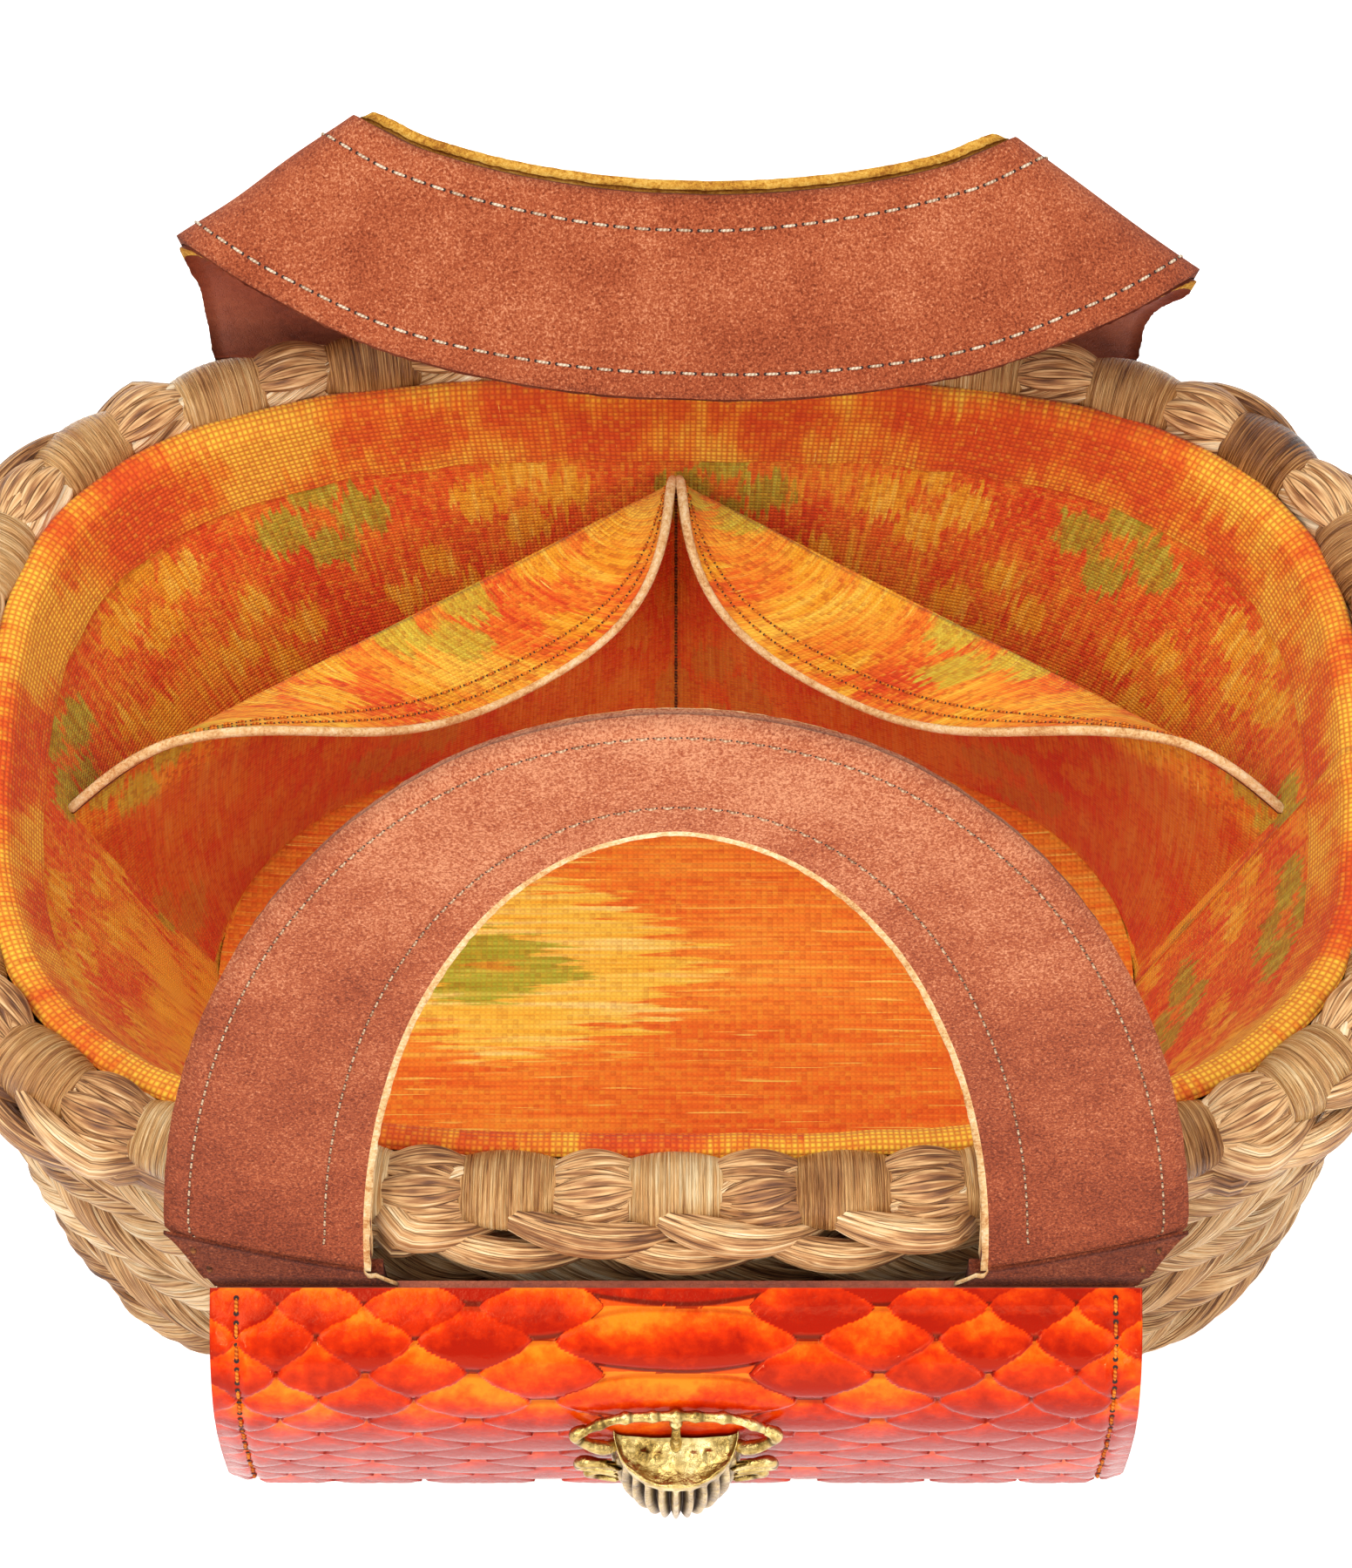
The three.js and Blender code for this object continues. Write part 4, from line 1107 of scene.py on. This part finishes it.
# Handles. The arches' key points are half width, distance inward from the crease and height above it.
CREASE_HEIGHT = 82
CREASE_DEPTH = RIM_HALF_DEPTH + 8.7
LEG_FOOT = CREASE_HEIGHT + 1.4
HANDLE_HALF_WIDTH = 84.3
HANDLE_INNER_HALF_WIDTH = 52.1
HANDLE_HEIGHT = 144
HANDLE_INNER_HEIGHT = 117
HANDLE_LAYER = 1.6
CORNER_CUT = {"front": 7.5, "rear": 1.0}
LEAN_FOOT = math.radians(8)
LEAN_CROWN = math.radians(4)
REAR_OUTER = [[84.3, 0, 0], [85, 5, 26], [86, 15, 50], [71, 27, 51.5], [46, 38, 48], [0, 45, 46]]
REAR_INNER = [[52.1, 0, 0], [53, 1.5, 35], [55, 4, 70.5], [43, 10.5, 71], [25, 16, 70.5], [0, 19, 70]]
# The rear handle's right end hangs a little further right, forward and lower
REAR_DROOP = np.array([4.5, -3.5, -5.0])
ENDS = {"front": -1, "rear": 1}
SIDES = {"left": -1, "right": 1}


def front_arch(count, columns):
    angle = np.linspace(0, math.pi, count)[:, None]
    v = np.linspace(0, 1, columns)[None, :]
    half = HANDLE_INNER_HALF_WIDTH + (HANDLE_HALF_WIDTH - HANDLE_INNER_HALF_WIDTH) * v
    rise = np.sin(angle) * (HANDLE_INNER_HEIGHT + (HANDLE_HEIGHT - HANDLE_INNER_HEIGHT) * v)
    bend = HANDLE_HEIGHT / (LEAN_CROWN - LEAN_FOOT)
    lean = LEAN_FOOT + rise / bend
    cut = CORNER_CUT["front"] * share_of(11.5, 0, rise) * v**2
    y = -CREASE_DEPTH + bend * (math.cos(LEAN_FOOT) - np.cos(lean))
    z = LEG_FOOT + bend * (np.sin(lean) - math.sin(LEAN_FOOT))
    return points_of(-(half - cut) * np.cos(angle), y, z)


def rear_arch(count, columns):
    def whole_curve(keys):
        left = [[-x, CREASE_DEPTH - inward, LEG_FOOT + up] for x, inward, up in keys]
        right = [[-x, y, z] for x, y, z in left[-2::-1]]
        return curve_points(left + right, count)[:, None, :]

    v = np.linspace(0, 1, columns)[None, :, None]
    arch = whole_curve(REAR_INNER) * (1 - v) + whole_curve(REAR_OUTER) * v
    high = share_of(8, 48, arch[..., 2] - LEG_FOOT)
    droop = share_of(0, HANDLE_HALF_WIDTH, arch[..., 0]) * high**2 * (3 - 2 * high)
    return arch + droop[..., None] * REAR_DROOP


# Each handle's side that wears the suede, the seed of its relief, how far the inner layer shows past the
# arch inside and outside, how far its inner edge curls, its edge's look, its seams as (inset, from the
# outer edge), and its thread
HANDLES = {
    "front": (1, 71, (1.0, -0.9), 0.2, "raw_edge", ((3.2, True), (6.4, False)), "tan_thread"),
    "rear": (-1, 72, (0.7, 0.6), 1.0, "yellow_edge", ((4.4, True), (6.2, False)), "white_thread"),
}


def with_edges(surface, inner, outer):
    """The surface with one more line inside it, and with its outer line moved."""
    return np.concatenate([inner[:, None], surface[:, :-1], outer[:, None]], axis=1)


def mark_inner_edge(kinds, surface, kind):
    """Gives the innermost cells of both faces of a thick sheet another kind."""
    rows, columns = surface.shape[0] - 1, surface.shape[1] - 1
    kinds[: 2 * rows * columns].reshape(2, rows, columns)[:, :, 0] = kind


def add_handle(end, surface):
    """Two glued layers: suede outside, smooth leather inside, whose raw edge shows beyond the suede."""
    outside, seed, shown, curl, edge_look, seams, thread = HANDLES[end]
    body = f"{end}_handle"
    rows, columns = surface.shape[:2]
    normal = normals(surface)
    surface = surface + normal * (smooth_noise((rows, columns), (16, 3), seed) * 0.25)[..., None]
    widthwise = unit(surface[:, -1] - surface[:, 0])
    lift = (HANDLE_LAYER + SOFT_GAP) / 2
    ragged = [rng.uniform(-most, most, (rows, 1)) for most in (0.12, 0.1, 0.14, 0.14)]
    face = outside * normal

    suede = surface
    if end == "front":
        cut = surface[:, 0] - widthwise * (1.15 + ragged[0])
        turned = surface[:, -1] + widthwise * (0.25 + ragged[1]) - face[:, -1] * 1.1
        suede = with_edges(surface, cut, turned)
    points, faces, kinds, uv = thick_sheet(suede, HANDLE_LAYER + 0.25, lift=outside * lift)
    if end == "front":
        mark_inner_edge(kinds, suede, 2)
    looks, node = ["suede", "shaded_suede", "raw_edge"], f"{end}_handle_suede"
    piece(f"{end}_suede", points, faces, looks, body, slot="suede", node=node, uv=uv, kinds=kinds)

    inner = surface[:, 0] - widthwise * (shown[0] + ragged[2]) + face[:, 0] * curl
    outer = surface[:, -1] + widthwise * (shown[1] + ragged[3])
    layer = with_edges(surface, inner, outer)
    points, faces, kinds, uv = thick_sheet(layer, HANDLE_LAYER + 0.25, lift=-outside * lift)
    mark_inner_edge(kinds, layer, 1)
    looks, node = ["inner_leather", edge_look], f"{end}_handle_lining"
    piece(f"{end}_lining", points, faces, looks, body, slot="smooth_leather", node=node, uv=uv, kinds=kinds)

    width = np.linalg.norm(surface[:, -1] - surface[:, 0], axis=1)
    index = np.arange(rows)
    runs = []
    for inset, from_outer in seams:
        share = 1 - inset / width if from_outer else inset / width
        at = share * (columns - 1)
        low = np.minimum(at.astype(int), columns - 2)
        w = (at - low)[:, None]
        line = surface[index, low] * (1 - w) + surface[index, low + 1] * w
        facing = face[index, low]
        line = line + facing * (lift + HANDLE_LAYER / 2 + 0.1)
        runs.append((line[3:-3], facing[3:-3]))
    stitches(f"{end}_handle_stitches", body, runs, thread, body)


# Tabs: each handle's leather goes on below the crease, a little wider, and is sewn to the wall
def add_tab(end, side):
    away, across = ENDS[end], SIDES[side]
    node = f"{end}_tab_{side}"
    low, high = (np.array(c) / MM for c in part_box(node))
    foot_depth = min(abs(low[1]), abs(high[1])) + 1.6
    u = np.linspace(0, 1, 25)[:, None]
    v = np.linspace(0, 1, 15)[None, :]
    outer_share = u if across > 0 else 1 - u
    x = low[0] + (high[0] - low[0]) * u - across * outer_share**3 * (1.5 + CORNER_CUT[end] + 3.0 * (1 - v))
    bulge = 0.5 * np.sin(math.pi * u) * np.sin(math.pi * v)
    y = away * (foot_depth + (CREASE_DEPTH - foot_depth) * v) + away * bulge
    z = low[2] + (CREASE_HEIGHT - low[2]) * v + 0.35 * np.sin(9 * u) * (1 - v)
    surface = points_of(x, y, z)
    points, faces, _, uv = thick_sheet(surface, 2.7)
    piece(f"{node}_leather", points, faces, "shaded_suede", "basket", slot="suede", node=node, uv=uv)
    normal = normals(surface)
    facing = normal * (1 if normal[12, 7] @ [0, away, 0] > 0 else -1)
    sewn = surface + facing * 1.4
    lines = [(sewn[column], facing[column]) for column in (2, 22)]
    lines.append((sewn[3:-3, 2], facing[3:-3, 2]))
    stitches(f"{node}_stitches", "basket", lines, "dark_thread", "tab")


def add_crease(end, side):
    """Leather that crosses a handle's crease, held by two bar tacks."""
    away, across = ENDS[end], SIDES[side]
    u = np.linspace(0, 1, 25)[:, None]
    v = np.linspace(0, 1, 13)[None, :]
    inner = HANDLE_INNER_HALF_WIDTH - 5.5 * (1 - v) ** 1.5
    outer = HANDLE_HALF_WIDTH + 0.6 - CORNER_CUT[end] * (1 - v) ** 0.8
    z = CREASE_HEIGHT - 3 + (6 + 10.5 * u**1.2) * v
    lean = math.tan(LEAN_FOOT) if end == "front" else 0.05 + 0.14 * u
    thin = 0.9 * np.clip((LEG_FOOT - z) / 1.4, 0, 1)
    depth = CREASE_DEPTH + 2.6 - thin - np.clip(z - LEG_FOOT, 0, None) * lean
    surface = points_of(across * (inner + (outer - inner) * u), away * depth, z)
    points, faces, edges, uv = thick_sheet(surface, 0.8)
    kinds = np.zeros(len(faces), int)
    kinds[np.flatnonzero(edges)[:12]] = 1
    looks = ["shaded_suede", "raw_edge"]
    obj = piece(f"{end}_crease_{side}", points, faces, looks, slot="suede", uv=uv, kinds=kinds)
    facing = np.tile([0, float(away), 0.1], (6, 1))
    raised = surface[22] + [0, away * 0.45, 0]
    tacks = [(even_points(raised[first:last], 6), facing) for first, last in ((5, 7), (9, 11))]
    stitches(f"{end}_tack_{side}", f"{end}_handle", tacks, "dark_thread", "tack")
    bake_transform(obj)


def add_handles():
    add_handle("front", front_arch(161, 13))
    add_handle("rear", rear_arch(221, 17))
    for add in (add_tab, add_crease):
        for end in ENDS:
            for side in SIDES:
                add(end, side)


# Pouch: its frame leans against the wall. The flap's profile has shares of its face's distance and heights.
POUCH_TOP = RIM_HEIGHT - 13.5
POUCH_HEIGHT = 56
POUCH_DEPTH = 10
POUCH_LEATHER = 1.6
POUCH_BACK_THICKNESS = 2
POUCH_BACK_DEPTH = CREASE_DEPTH + 1.9
MAGNET_THICKNESS = 1.5
FLAP_LINING = 1
FLAP_HALF_WIDTH = 78
FLAP_PROFILE = [
    [0.055, 2.2], [0.33, 1], [0.63, -2.2], [0.855, -7.5], [0.965, -14], [1, -22], [0.98, -38], [0.91, -53],
]
FLAP_FACE = (
    POUCH_BACK_THICKNESS / 2 + POUCH_DEPTH + POUCH_LEATHER + 2 * MAGNET_THICKNESS + FLAP_LINING
    + 5.5 * TOUCH_GAP
)
FLAP_CORNER = 5.0
FLAP_SEAM_INSET = 4.6


def pouch_lean():
    foot = row_path(POUCH_TOP - POUCH_HEIGHT).half_depth + 5.5 + SOFT_GAP + 1
    return math.asin((POUCH_BACK_DEPTH - foot) / POUCH_HEIGHT)


LEAN = pouch_lean()


def from_pouch(points):
    """Points of the pouch's own frame (across, out of the wall, up) in the bag's frame."""
    x, out, up = np.moveaxis(np.asarray(points, float), -1, 0)
    y = -out * math.cos(LEAN) - up * math.sin(LEAN) - POUCH_BACK_DEPTH
    z = -out * math.sin(LEAN) + up * math.cos(LEAN) + POUCH_TOP
    return points_of(x, y, z)


# Snakeskin: lens shaped scales in staggered columns either side of broad belly scales
SCALE_PITCH = 10.9
BELLY_START = 8.5
BELLY_HALF_WIDTH = 20
COLUMN_PLACES = [22.5, 34, 43.5, 52, 59.8, 66.8, 73.4, 79.5]
COLUMN_REACHES = [10.4, 9.6, 8.4, 7.8, 7.2, 6.7, 6.2, 5.8]
BELLY_HALF_LENGTH = 5.0
SCALE_HALF_LENGTH = 5.1


def scale_field(x, s):
    """Height of the skin, nearness to a scale's outline, place within the scale and the scale's own
    shade, at x across and s along."""
    best = np.full(x.shape, 9.0)
    height = np.zeros(x.shape)
    rise = np.zeros(x.shape)
    shade = np.full(x.shape, 0.5)

    def cover(ds, half_length, room, row, column):
        lens = np.abs(ds) / np.maximum(half_length * room, 1e-3)
        place = ds / half_length
        nearer = lens < best
        own = (np.sin(12.99 * row + 78.23 * column) * 4375.85) % 1
        free_edge = 0.4 + 0.6 * np.clip(0.5 + 0.5 * place, 0, 1)
        np.copyto(shade, np.where(column == 0, 0.65 + 0.35 * own, own), where=nearer)
        np.copyto(best, lens, where=nearer)
        np.copyto(rise, -np.clip(place, -1, 1), where=nearer)
        np.copyto(height, np.clip(1 - lens**2.6, 0, 1) ** 0.55 * free_edge, where=nearer)

    wobble = 0.6 * np.sin(x * 0.31 + 1.0) + 0.4 * np.sin(s * 0.4 + x * 0.12)
    near_row = np.round((s - BELLY_START) / SCALE_PITCH)
    belly = np.clip(1 - (np.abs(x) / BELLY_HALF_WIDTH) ** 2.4, 0, None) ** 0.6
    for row in (near_row - 1, near_row, near_row + 1):
        ds = s - (BELLY_START + row * SCALE_PITCH) - 0.2 * wobble
        cover(ds, BELLY_HALF_LENGTH, belly, row, 0)
    for k, (place, reach) in enumerate(zip(COLUMN_PLACES, COLUMN_REACHES)):
        offset = BELLY_START + (0.5 if k % 2 == 0 else 0.0) * SCALE_PITCH
        row = np.round((s - offset) / SCALE_PITCH)
        ds = s - offset - row * SCALE_PITCH + 0.3 * wobble
        dx = np.abs(x + 0.25 * wobble) - place + 0.25 * np.sin(3.1 * row + k)
        room = np.clip(1 - (np.abs(dx) / reach) ** 2.5, 0.0, None)
        cover(ds, SCALE_HALF_LENGTH, room, row, (k + 1) * np.sign(x))
    return height, np.minimum(best, 1.6), rise, shade


def add_flap():
    profile = curve_points([[0, share * FLAP_FACE, up] for share, up in FLAP_PROFILE], 400)
    length = path_length(profile)[-1]
    steps, columns = 200, 420
    profile = even_points(profile, steps)
    x = np.linspace(-FLAP_HALF_WIDTH, FLAP_HALF_WIDTH, columns)
    inset = FLAP_HALF_WIDTH - np.abs(x)
    into = np.clip((FLAP_CORNER - inset) / FLAP_CORNER, 0, 1)
    ragged = 0.5 * np.sin(x * 0.9) + 0.35 * np.sin(x * 2.1 + 1) + 0.3 * rng.uniform(-1, 1, columns)
    reach = np.minimum(length - FLAP_CORNER * (1 - np.sqrt(1 - into**2)) + 0.5 * ragged, length)
    s = np.linspace(0, 1, steps)[None, :] * reach[:, None]
    place = along(np.linspace(0, length, steps), profile, s)
    across = np.broadcast_to(x[:, None], s.shape)
    height, lens, rise, shade = scale_field(across, s)
    surface = from_pouch(points_of(across * (1 - 0.004 * s / length), place[..., 1], place[..., 2]))
    normal = normals(surface)
    if normal[columns // 2, steps // 2] @ [0, -1, 0] < 0:
        normal = -normal
    calm = np.clip(inset / 5, 0.2, 1)[:, None]
    seam = np.exp(-(((inset - FLAP_SEAM_INSET) / 0.9) ** 2))[:, None]
    grow = share_of(3, 12, s)
    skin = TOUCH_GAP / 2 + 0.7 + grow * (0.4 + 1.5 * height * calm - 0.45 * seam)
    out = surface + normal * skin[..., None]
    points, faces, _ = slab(out, surface + normal * (TOUCH_GAP / 2))
    faces = outward(points, faces)
    kinds = np.arange(len(faces)) >= (columns - 1) * (steps - 1)
    fields = {"lens": lens, "rise": rise, "shade": shade}
    layers = {name: np.tile(field.ravel(), 2) for name, field in fields.items()}
    looks = ["scale_leather", "yellow_edge"]
    scales = dict(slot="scale_leather", node="flap_scales", layers=layers, kinds=kinds)
    piece("flap_skin", points, faces, looks, "flap", **scales)

    points, faces, kinds, uv = thick_sheet(surface[::8, ::4], 0.9)
    points = points - np.tile(normal[::8, ::4].reshape(-1, 3), (2, 1)) * 0.62
    looks = ["inner_leather", "yellow_edge"]
    lining = dict(slot="smooth_leather", node="flap_lining", uv=uv, kinds=kinds)
    piece("flap_backing", points, faces, looks, "flap", **lining)
    column = int(columns * FLAP_SEAM_INSET / (2 * FLAP_HALF_WIDTH))
    facings = [normal[k, 3:-8] for k in (column, -1 - column)]
    lines = [out[k, 3:-8] for k in (column, -1 - column)]
    runs = [(line + facing * 0.05, facing) for line, facing in zip(lines, facings)]
    stitches("flap_stitches", "flap", runs, "orange_thread", "flap")


# Clasp: one brass casting. A ribbed cup hangs below a jointed bar by a stem, with curls beside it.
CLASP_BACK = FLAP_FACE + TOUCH_GAP / 2 + POUCH_LEATHER + TOUCH_GAP
CUP_MIDDLE = -30
CUP_RIM = -24
CUP_HALF_HEIGHT = 18.6
CUP_RIBS = 12
# Two curls cast into the dish: place across, place out and breadth
CUP_CURLS = ((3.0, 3.8, 1.1), (5.4, 3.4, 0.8))


def cup_shell(turns=217):
    """The cup from the back of its sloping, crescent dish over the lip and down its ribbed front."""
    turn = np.linspace(0, math.pi, turns)[:, None]
    ahead = np.sin(turn)
    lip = CUP_RIM + 4.6 + 3.4 * (1 - ahead) ** 1.3 + 0.15 * np.sin(9 * turn)
    w = np.linspace(0, 0.96, 24)[None, :]
    x = np.cos(turn) * 10.4
    back, front = 0.3 + 0.5 * ahead, 0.4 + 8.6 * ahead
    out = back + (front - back) * w
    curls = sum(0.75 * np.exp(-((np.abs(x) - a) ** 2 + (out - b) ** 2) / c) for a, b, c in CUP_CURLS)
    z = lip + 1.4 * (1 - w) * ahead - np.sin(math.pi * w) * ahead + curls + 0.12 * np.sin(9 * turn) * w
    inner = points_of(x, CLASP_BACK + out, z)
    # Painted shade: the back of the dish, in the recess against the flap, is darkened through the crease
    # layer.
    dish_back_shade = 0.25 * np.exp(-((w / 0.08) ** 2)) * ahead

    w = np.linspace(0, 1, 48)[None, :]
    z = lip + (CUP_MIDDLE - CUP_HALF_HEIGHT - lip) * w
    level = np.minimum((z - CUP_MIDDLE) / CUP_HALF_HEIGHT, 0)
    close = np.maximum(1 - np.abs(level) ** 3.2, 0.0) ** (1 / 3)
    belly = 1 + 0.05 * np.sin(math.pi * np.clip(w * 1.6, 0, 1))
    rib = np.abs(np.sin((CUP_RIBS + 1) * turn)) ** 1.25
    fat = (1 - share_of(0.07, 0.12, w) * (1 - rib) * 0.19) * close * belly
    reach_x = 10.6 * fat * (1 - 0.26 * level**2)
    outer = points_of(np.cos(turn) * reach_x, CLASP_BACK + ahead * 9.1 * fat, z)
    shade = share_of(0.06, 0.1, w) * np.clip(1.6 * (1 - rib) - 0.1, 0, 1)
    return np.concatenate([inner, outer], axis=1), np.concatenate([dish_back_shade, shade], axis=1)


# Each rod's route (across, out from the clasp's back, up), its radius, and its knuckles, each with
# its place, width and size
CLASP_BAR = [[-15.8, 1.6, -11.2], [-10, 0.2, -8.9], [-4, -0.1, -8.4], [0, -0.2, -8.2]]
BAR_KNUCKLES = [
    (0.1, 0.022, 0.25), (0.24, 0.022, 0.4), (0.38, 0.022, 0.3), (0.5, 0.022, 0.55),
    (0.6, 0.022, 0.3), (0.74, 0.022, 0.4), (0.9, 0.022, 0.25),
]
CLASP_STEM = [[0, 0.1, -8.6], [0, 1.2, -14], [0, 2.0, -18], [0, 2.8, -22.5]]
CLASP_ARM = [[14.8, 1.3, -10.7], [16.9, 2, -12], [14.8, 2.6, -15.5], [11.6, 2.6, -17.6], [10.2, 1.6, -18.6]]
UPPER_CURL = [
    [9.4, 3.4, -27], [12.6, 3.6, -23.8], [16, 3.2, -24], [16.6, 3, -27], [13.2, 3, -28.6], [10, 3.2, -29.2],
]
LOWER_CURL = [[9.8, 3.2, -31.4], [13, 3, -29.8], [15, 2.8, -31.6], [12.8, 2.8, -34], [9.8, 3, -35]]
SIDE_RODS = [
    (CLASP_ARM, 1.0, [(0.2, 0.1, 0.3), (0.75, 0.2, 0.3)]),
    (UPPER_CURL, 0.8, [(0.4, 0.1, 0.35)]),
    (LOWER_CURL, 0.75, [(0.5, 0.12, 0.3)]),
]


def mirrored(route, side):
    return [[side * x, out, up] for x, out, up in route]


def clasp_rods():
    rods = [(CLASP_BAR + mirrored(CLASP_BAR[-2::-1], -1), 0.85, BAR_KNUCKLES)]
    rods.append((CLASP_STEM, 0.85, [(0.1, 0.06, 0.45), (0.62, 0.12, 0.35)]))
    for side in (-1, 1):
        rods += [(mirrored(route, side), fat, knuckles) for route, fat, knuckles in SIDE_RODS]
    return rods


def rod(route, fat, knuckles, steps=64, sides=16):
    keys = np.array(route, float) + [0, CLASP_BACK, 0]
    path = from_pouch(even_points(curve_points(keys, 80), steps))
    share = np.linspace(0, 1, steps)
    reach = np.full(steps, fat)
    groove = np.zeros(steps)
    for place, width, size in knuckles:
        reach += size * np.exp(-(((share - place) / width) ** 2))
        groove += 0.8 * np.exp(-(((share - place - width * 1.4) / (width * 0.4)) ** 2))
    reach *= np.clip(np.minimum(share, 1 - share) * 30, 0.35, 1) ** 0.5
    crease = np.concatenate([np.repeat(np.clip(groove, 0, 1), sides), [0, 0]])
    return tube(path, [0.1, 1, 0.3], reach, reach * 0.9, sides, tone=crease)


def add_clasp():
    shell, crease = cup_shell()
    points = from_pouch(shell).reshape(-1, 3)
    cup = (points, grid_quads(*shell.shape[:2]), np.zeros((len(points), 2)), crease.ravel())
    points, faces, _, crease = merge([cup, *(rod(*each) for each in clasp_rods())])
    layers = {"crease": crease}
    piece("clasp_casting", points, faces, "brass", "flap", slot="brass", node="clasp", layers=layers)


# CAD pieces that show as they are, and their looks
DRESSED = {
    "pouch_front": "pouch_skin", "pouch_gusset": "pouch_skin", "pouch_back": "inner_leather",
    "base_mat": "straw", "stake_frame": "straw", "floor_board": "board",
    "catch_plate": "steel", "flap_magnet": "steel",
}


def dress_nodes():
    for node, look in DRESSED.items():
        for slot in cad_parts[node].material_slots:
            slot.material = materials[look]


# Studio. Each lamp's place and size in metres, and its power in watts.
LAMPS = {
    "key": ((-0.55, -0.35, 1.15), 0.7, 7.0),
    "fill": ((0.7, -0.5, 0.9), 0.8, 3.5),
    "front": ((0.0, -1.1, 0.28), 0.8, 3.0),
    "top": ((0.0, 0.15, 1.4), 0.8, 4.5),
    "glint_left": ((-0.45, -0.75, 0.85), 0.1, 1.2),
    "glint_right": ((0.35, -1.0, 0.55), 0.1, 0.9),
}
LAMP_AIM = Vector((0, 0, 0.06))
WHITE = (1, 1, 1, 1)
GROUND_REACH = 3000


def add_studio():
    scene = bpy.context.scene
    scene.view_settings.view_transform = "Standard"
    camera_data = bpy.data.cameras.new("camera")
    camera_data.sensor_fit = "VERTICAL"
    camera_data.sensor_height = CAMERA_SENSOR
    camera_data.lens = CAMERA_LENS
    camera_data.clip_start = 0.01
    scene.camera = bpy.data.objects.new("camera", camera_data)
    scene.camera.location = CAMERA_PLACE
    scene.camera.rotation_euler = (math.radians(CAMERA_TILT), 0, 0)
    scene.collection.objects.link(scene.camera)
    add_world(scene)
    add_ground()
    for name, (place, size, power) in LAMPS.items():
        data = bpy.data.lights.new(name, "AREA")
        data.shape = "SQUARE"
        data.size = size
        data.energy = power
        lamp = bpy.data.objects.new(name, data)
        lamp.location = place
        lamp.rotation_euler = (LAMP_AIM - Vector(place)).to_track_quat("-Z", "Y").to_euler()
        scene.collection.objects.link(lamp)


def backdrop_rays(m):
    """1 for rays that should see a white background."""
    names = ("Is Camera Ray", "Is Glossy Ray", "Is Transmission Ray")
    most, *others = (m.node("LightPath", {}, name) for name in names)
    for ray in others:
        most = m.math("MAXIMUM", most, ray)
    return most


def add_world(scene):
    scene.world = bpy.data.worlds.new("studio")
    scene.world.use_nodes = True
    m = Nodes(scene.world.node_tree)
    soft = m.node("Background", {0: WHITE, 1: 0.75})
    white = m.node("Background", {0: WHITE, 1: 1.0})
    mix = m.node("MixShader", {0: backdrop_rays(m), 1: soft, 2: white})
    m.feed(m.tree.nodes["World Output"].inputs[0], mix)


def add_ground():
    reach = GROUND_REACH
    points = [[-reach, -reach, -0.05], [reach, -reach, -0.05], [reach, reach, -0.05], [-reach, reach, -0.05]]
    m = Shader("ground")
    m.finish((236, 235, 233), 0.9)
    matt = Value(m, m.surface.outputs[0])
    lit = m.node("AddShader", {0: matt, 1: m.node("Emission", {0: WHITE, 1: 0.62})})
    pick = m.node("MixShader", {0: backdrop_rays(m), 1: matt, 2: lit})
    m.feed(m.tree.nodes["Material Output"].inputs[0], pick)
    piece("ground", points, [[0, 1, 2, 3]], "ground")


add_materials()
add_studio()
add_rows()
add_rim()
add_base()
add_lining()
add_hem()
add_floor_cloth()
add_pocket()
add_handles()
add_flap()
add_clasp()
dress_nodes()
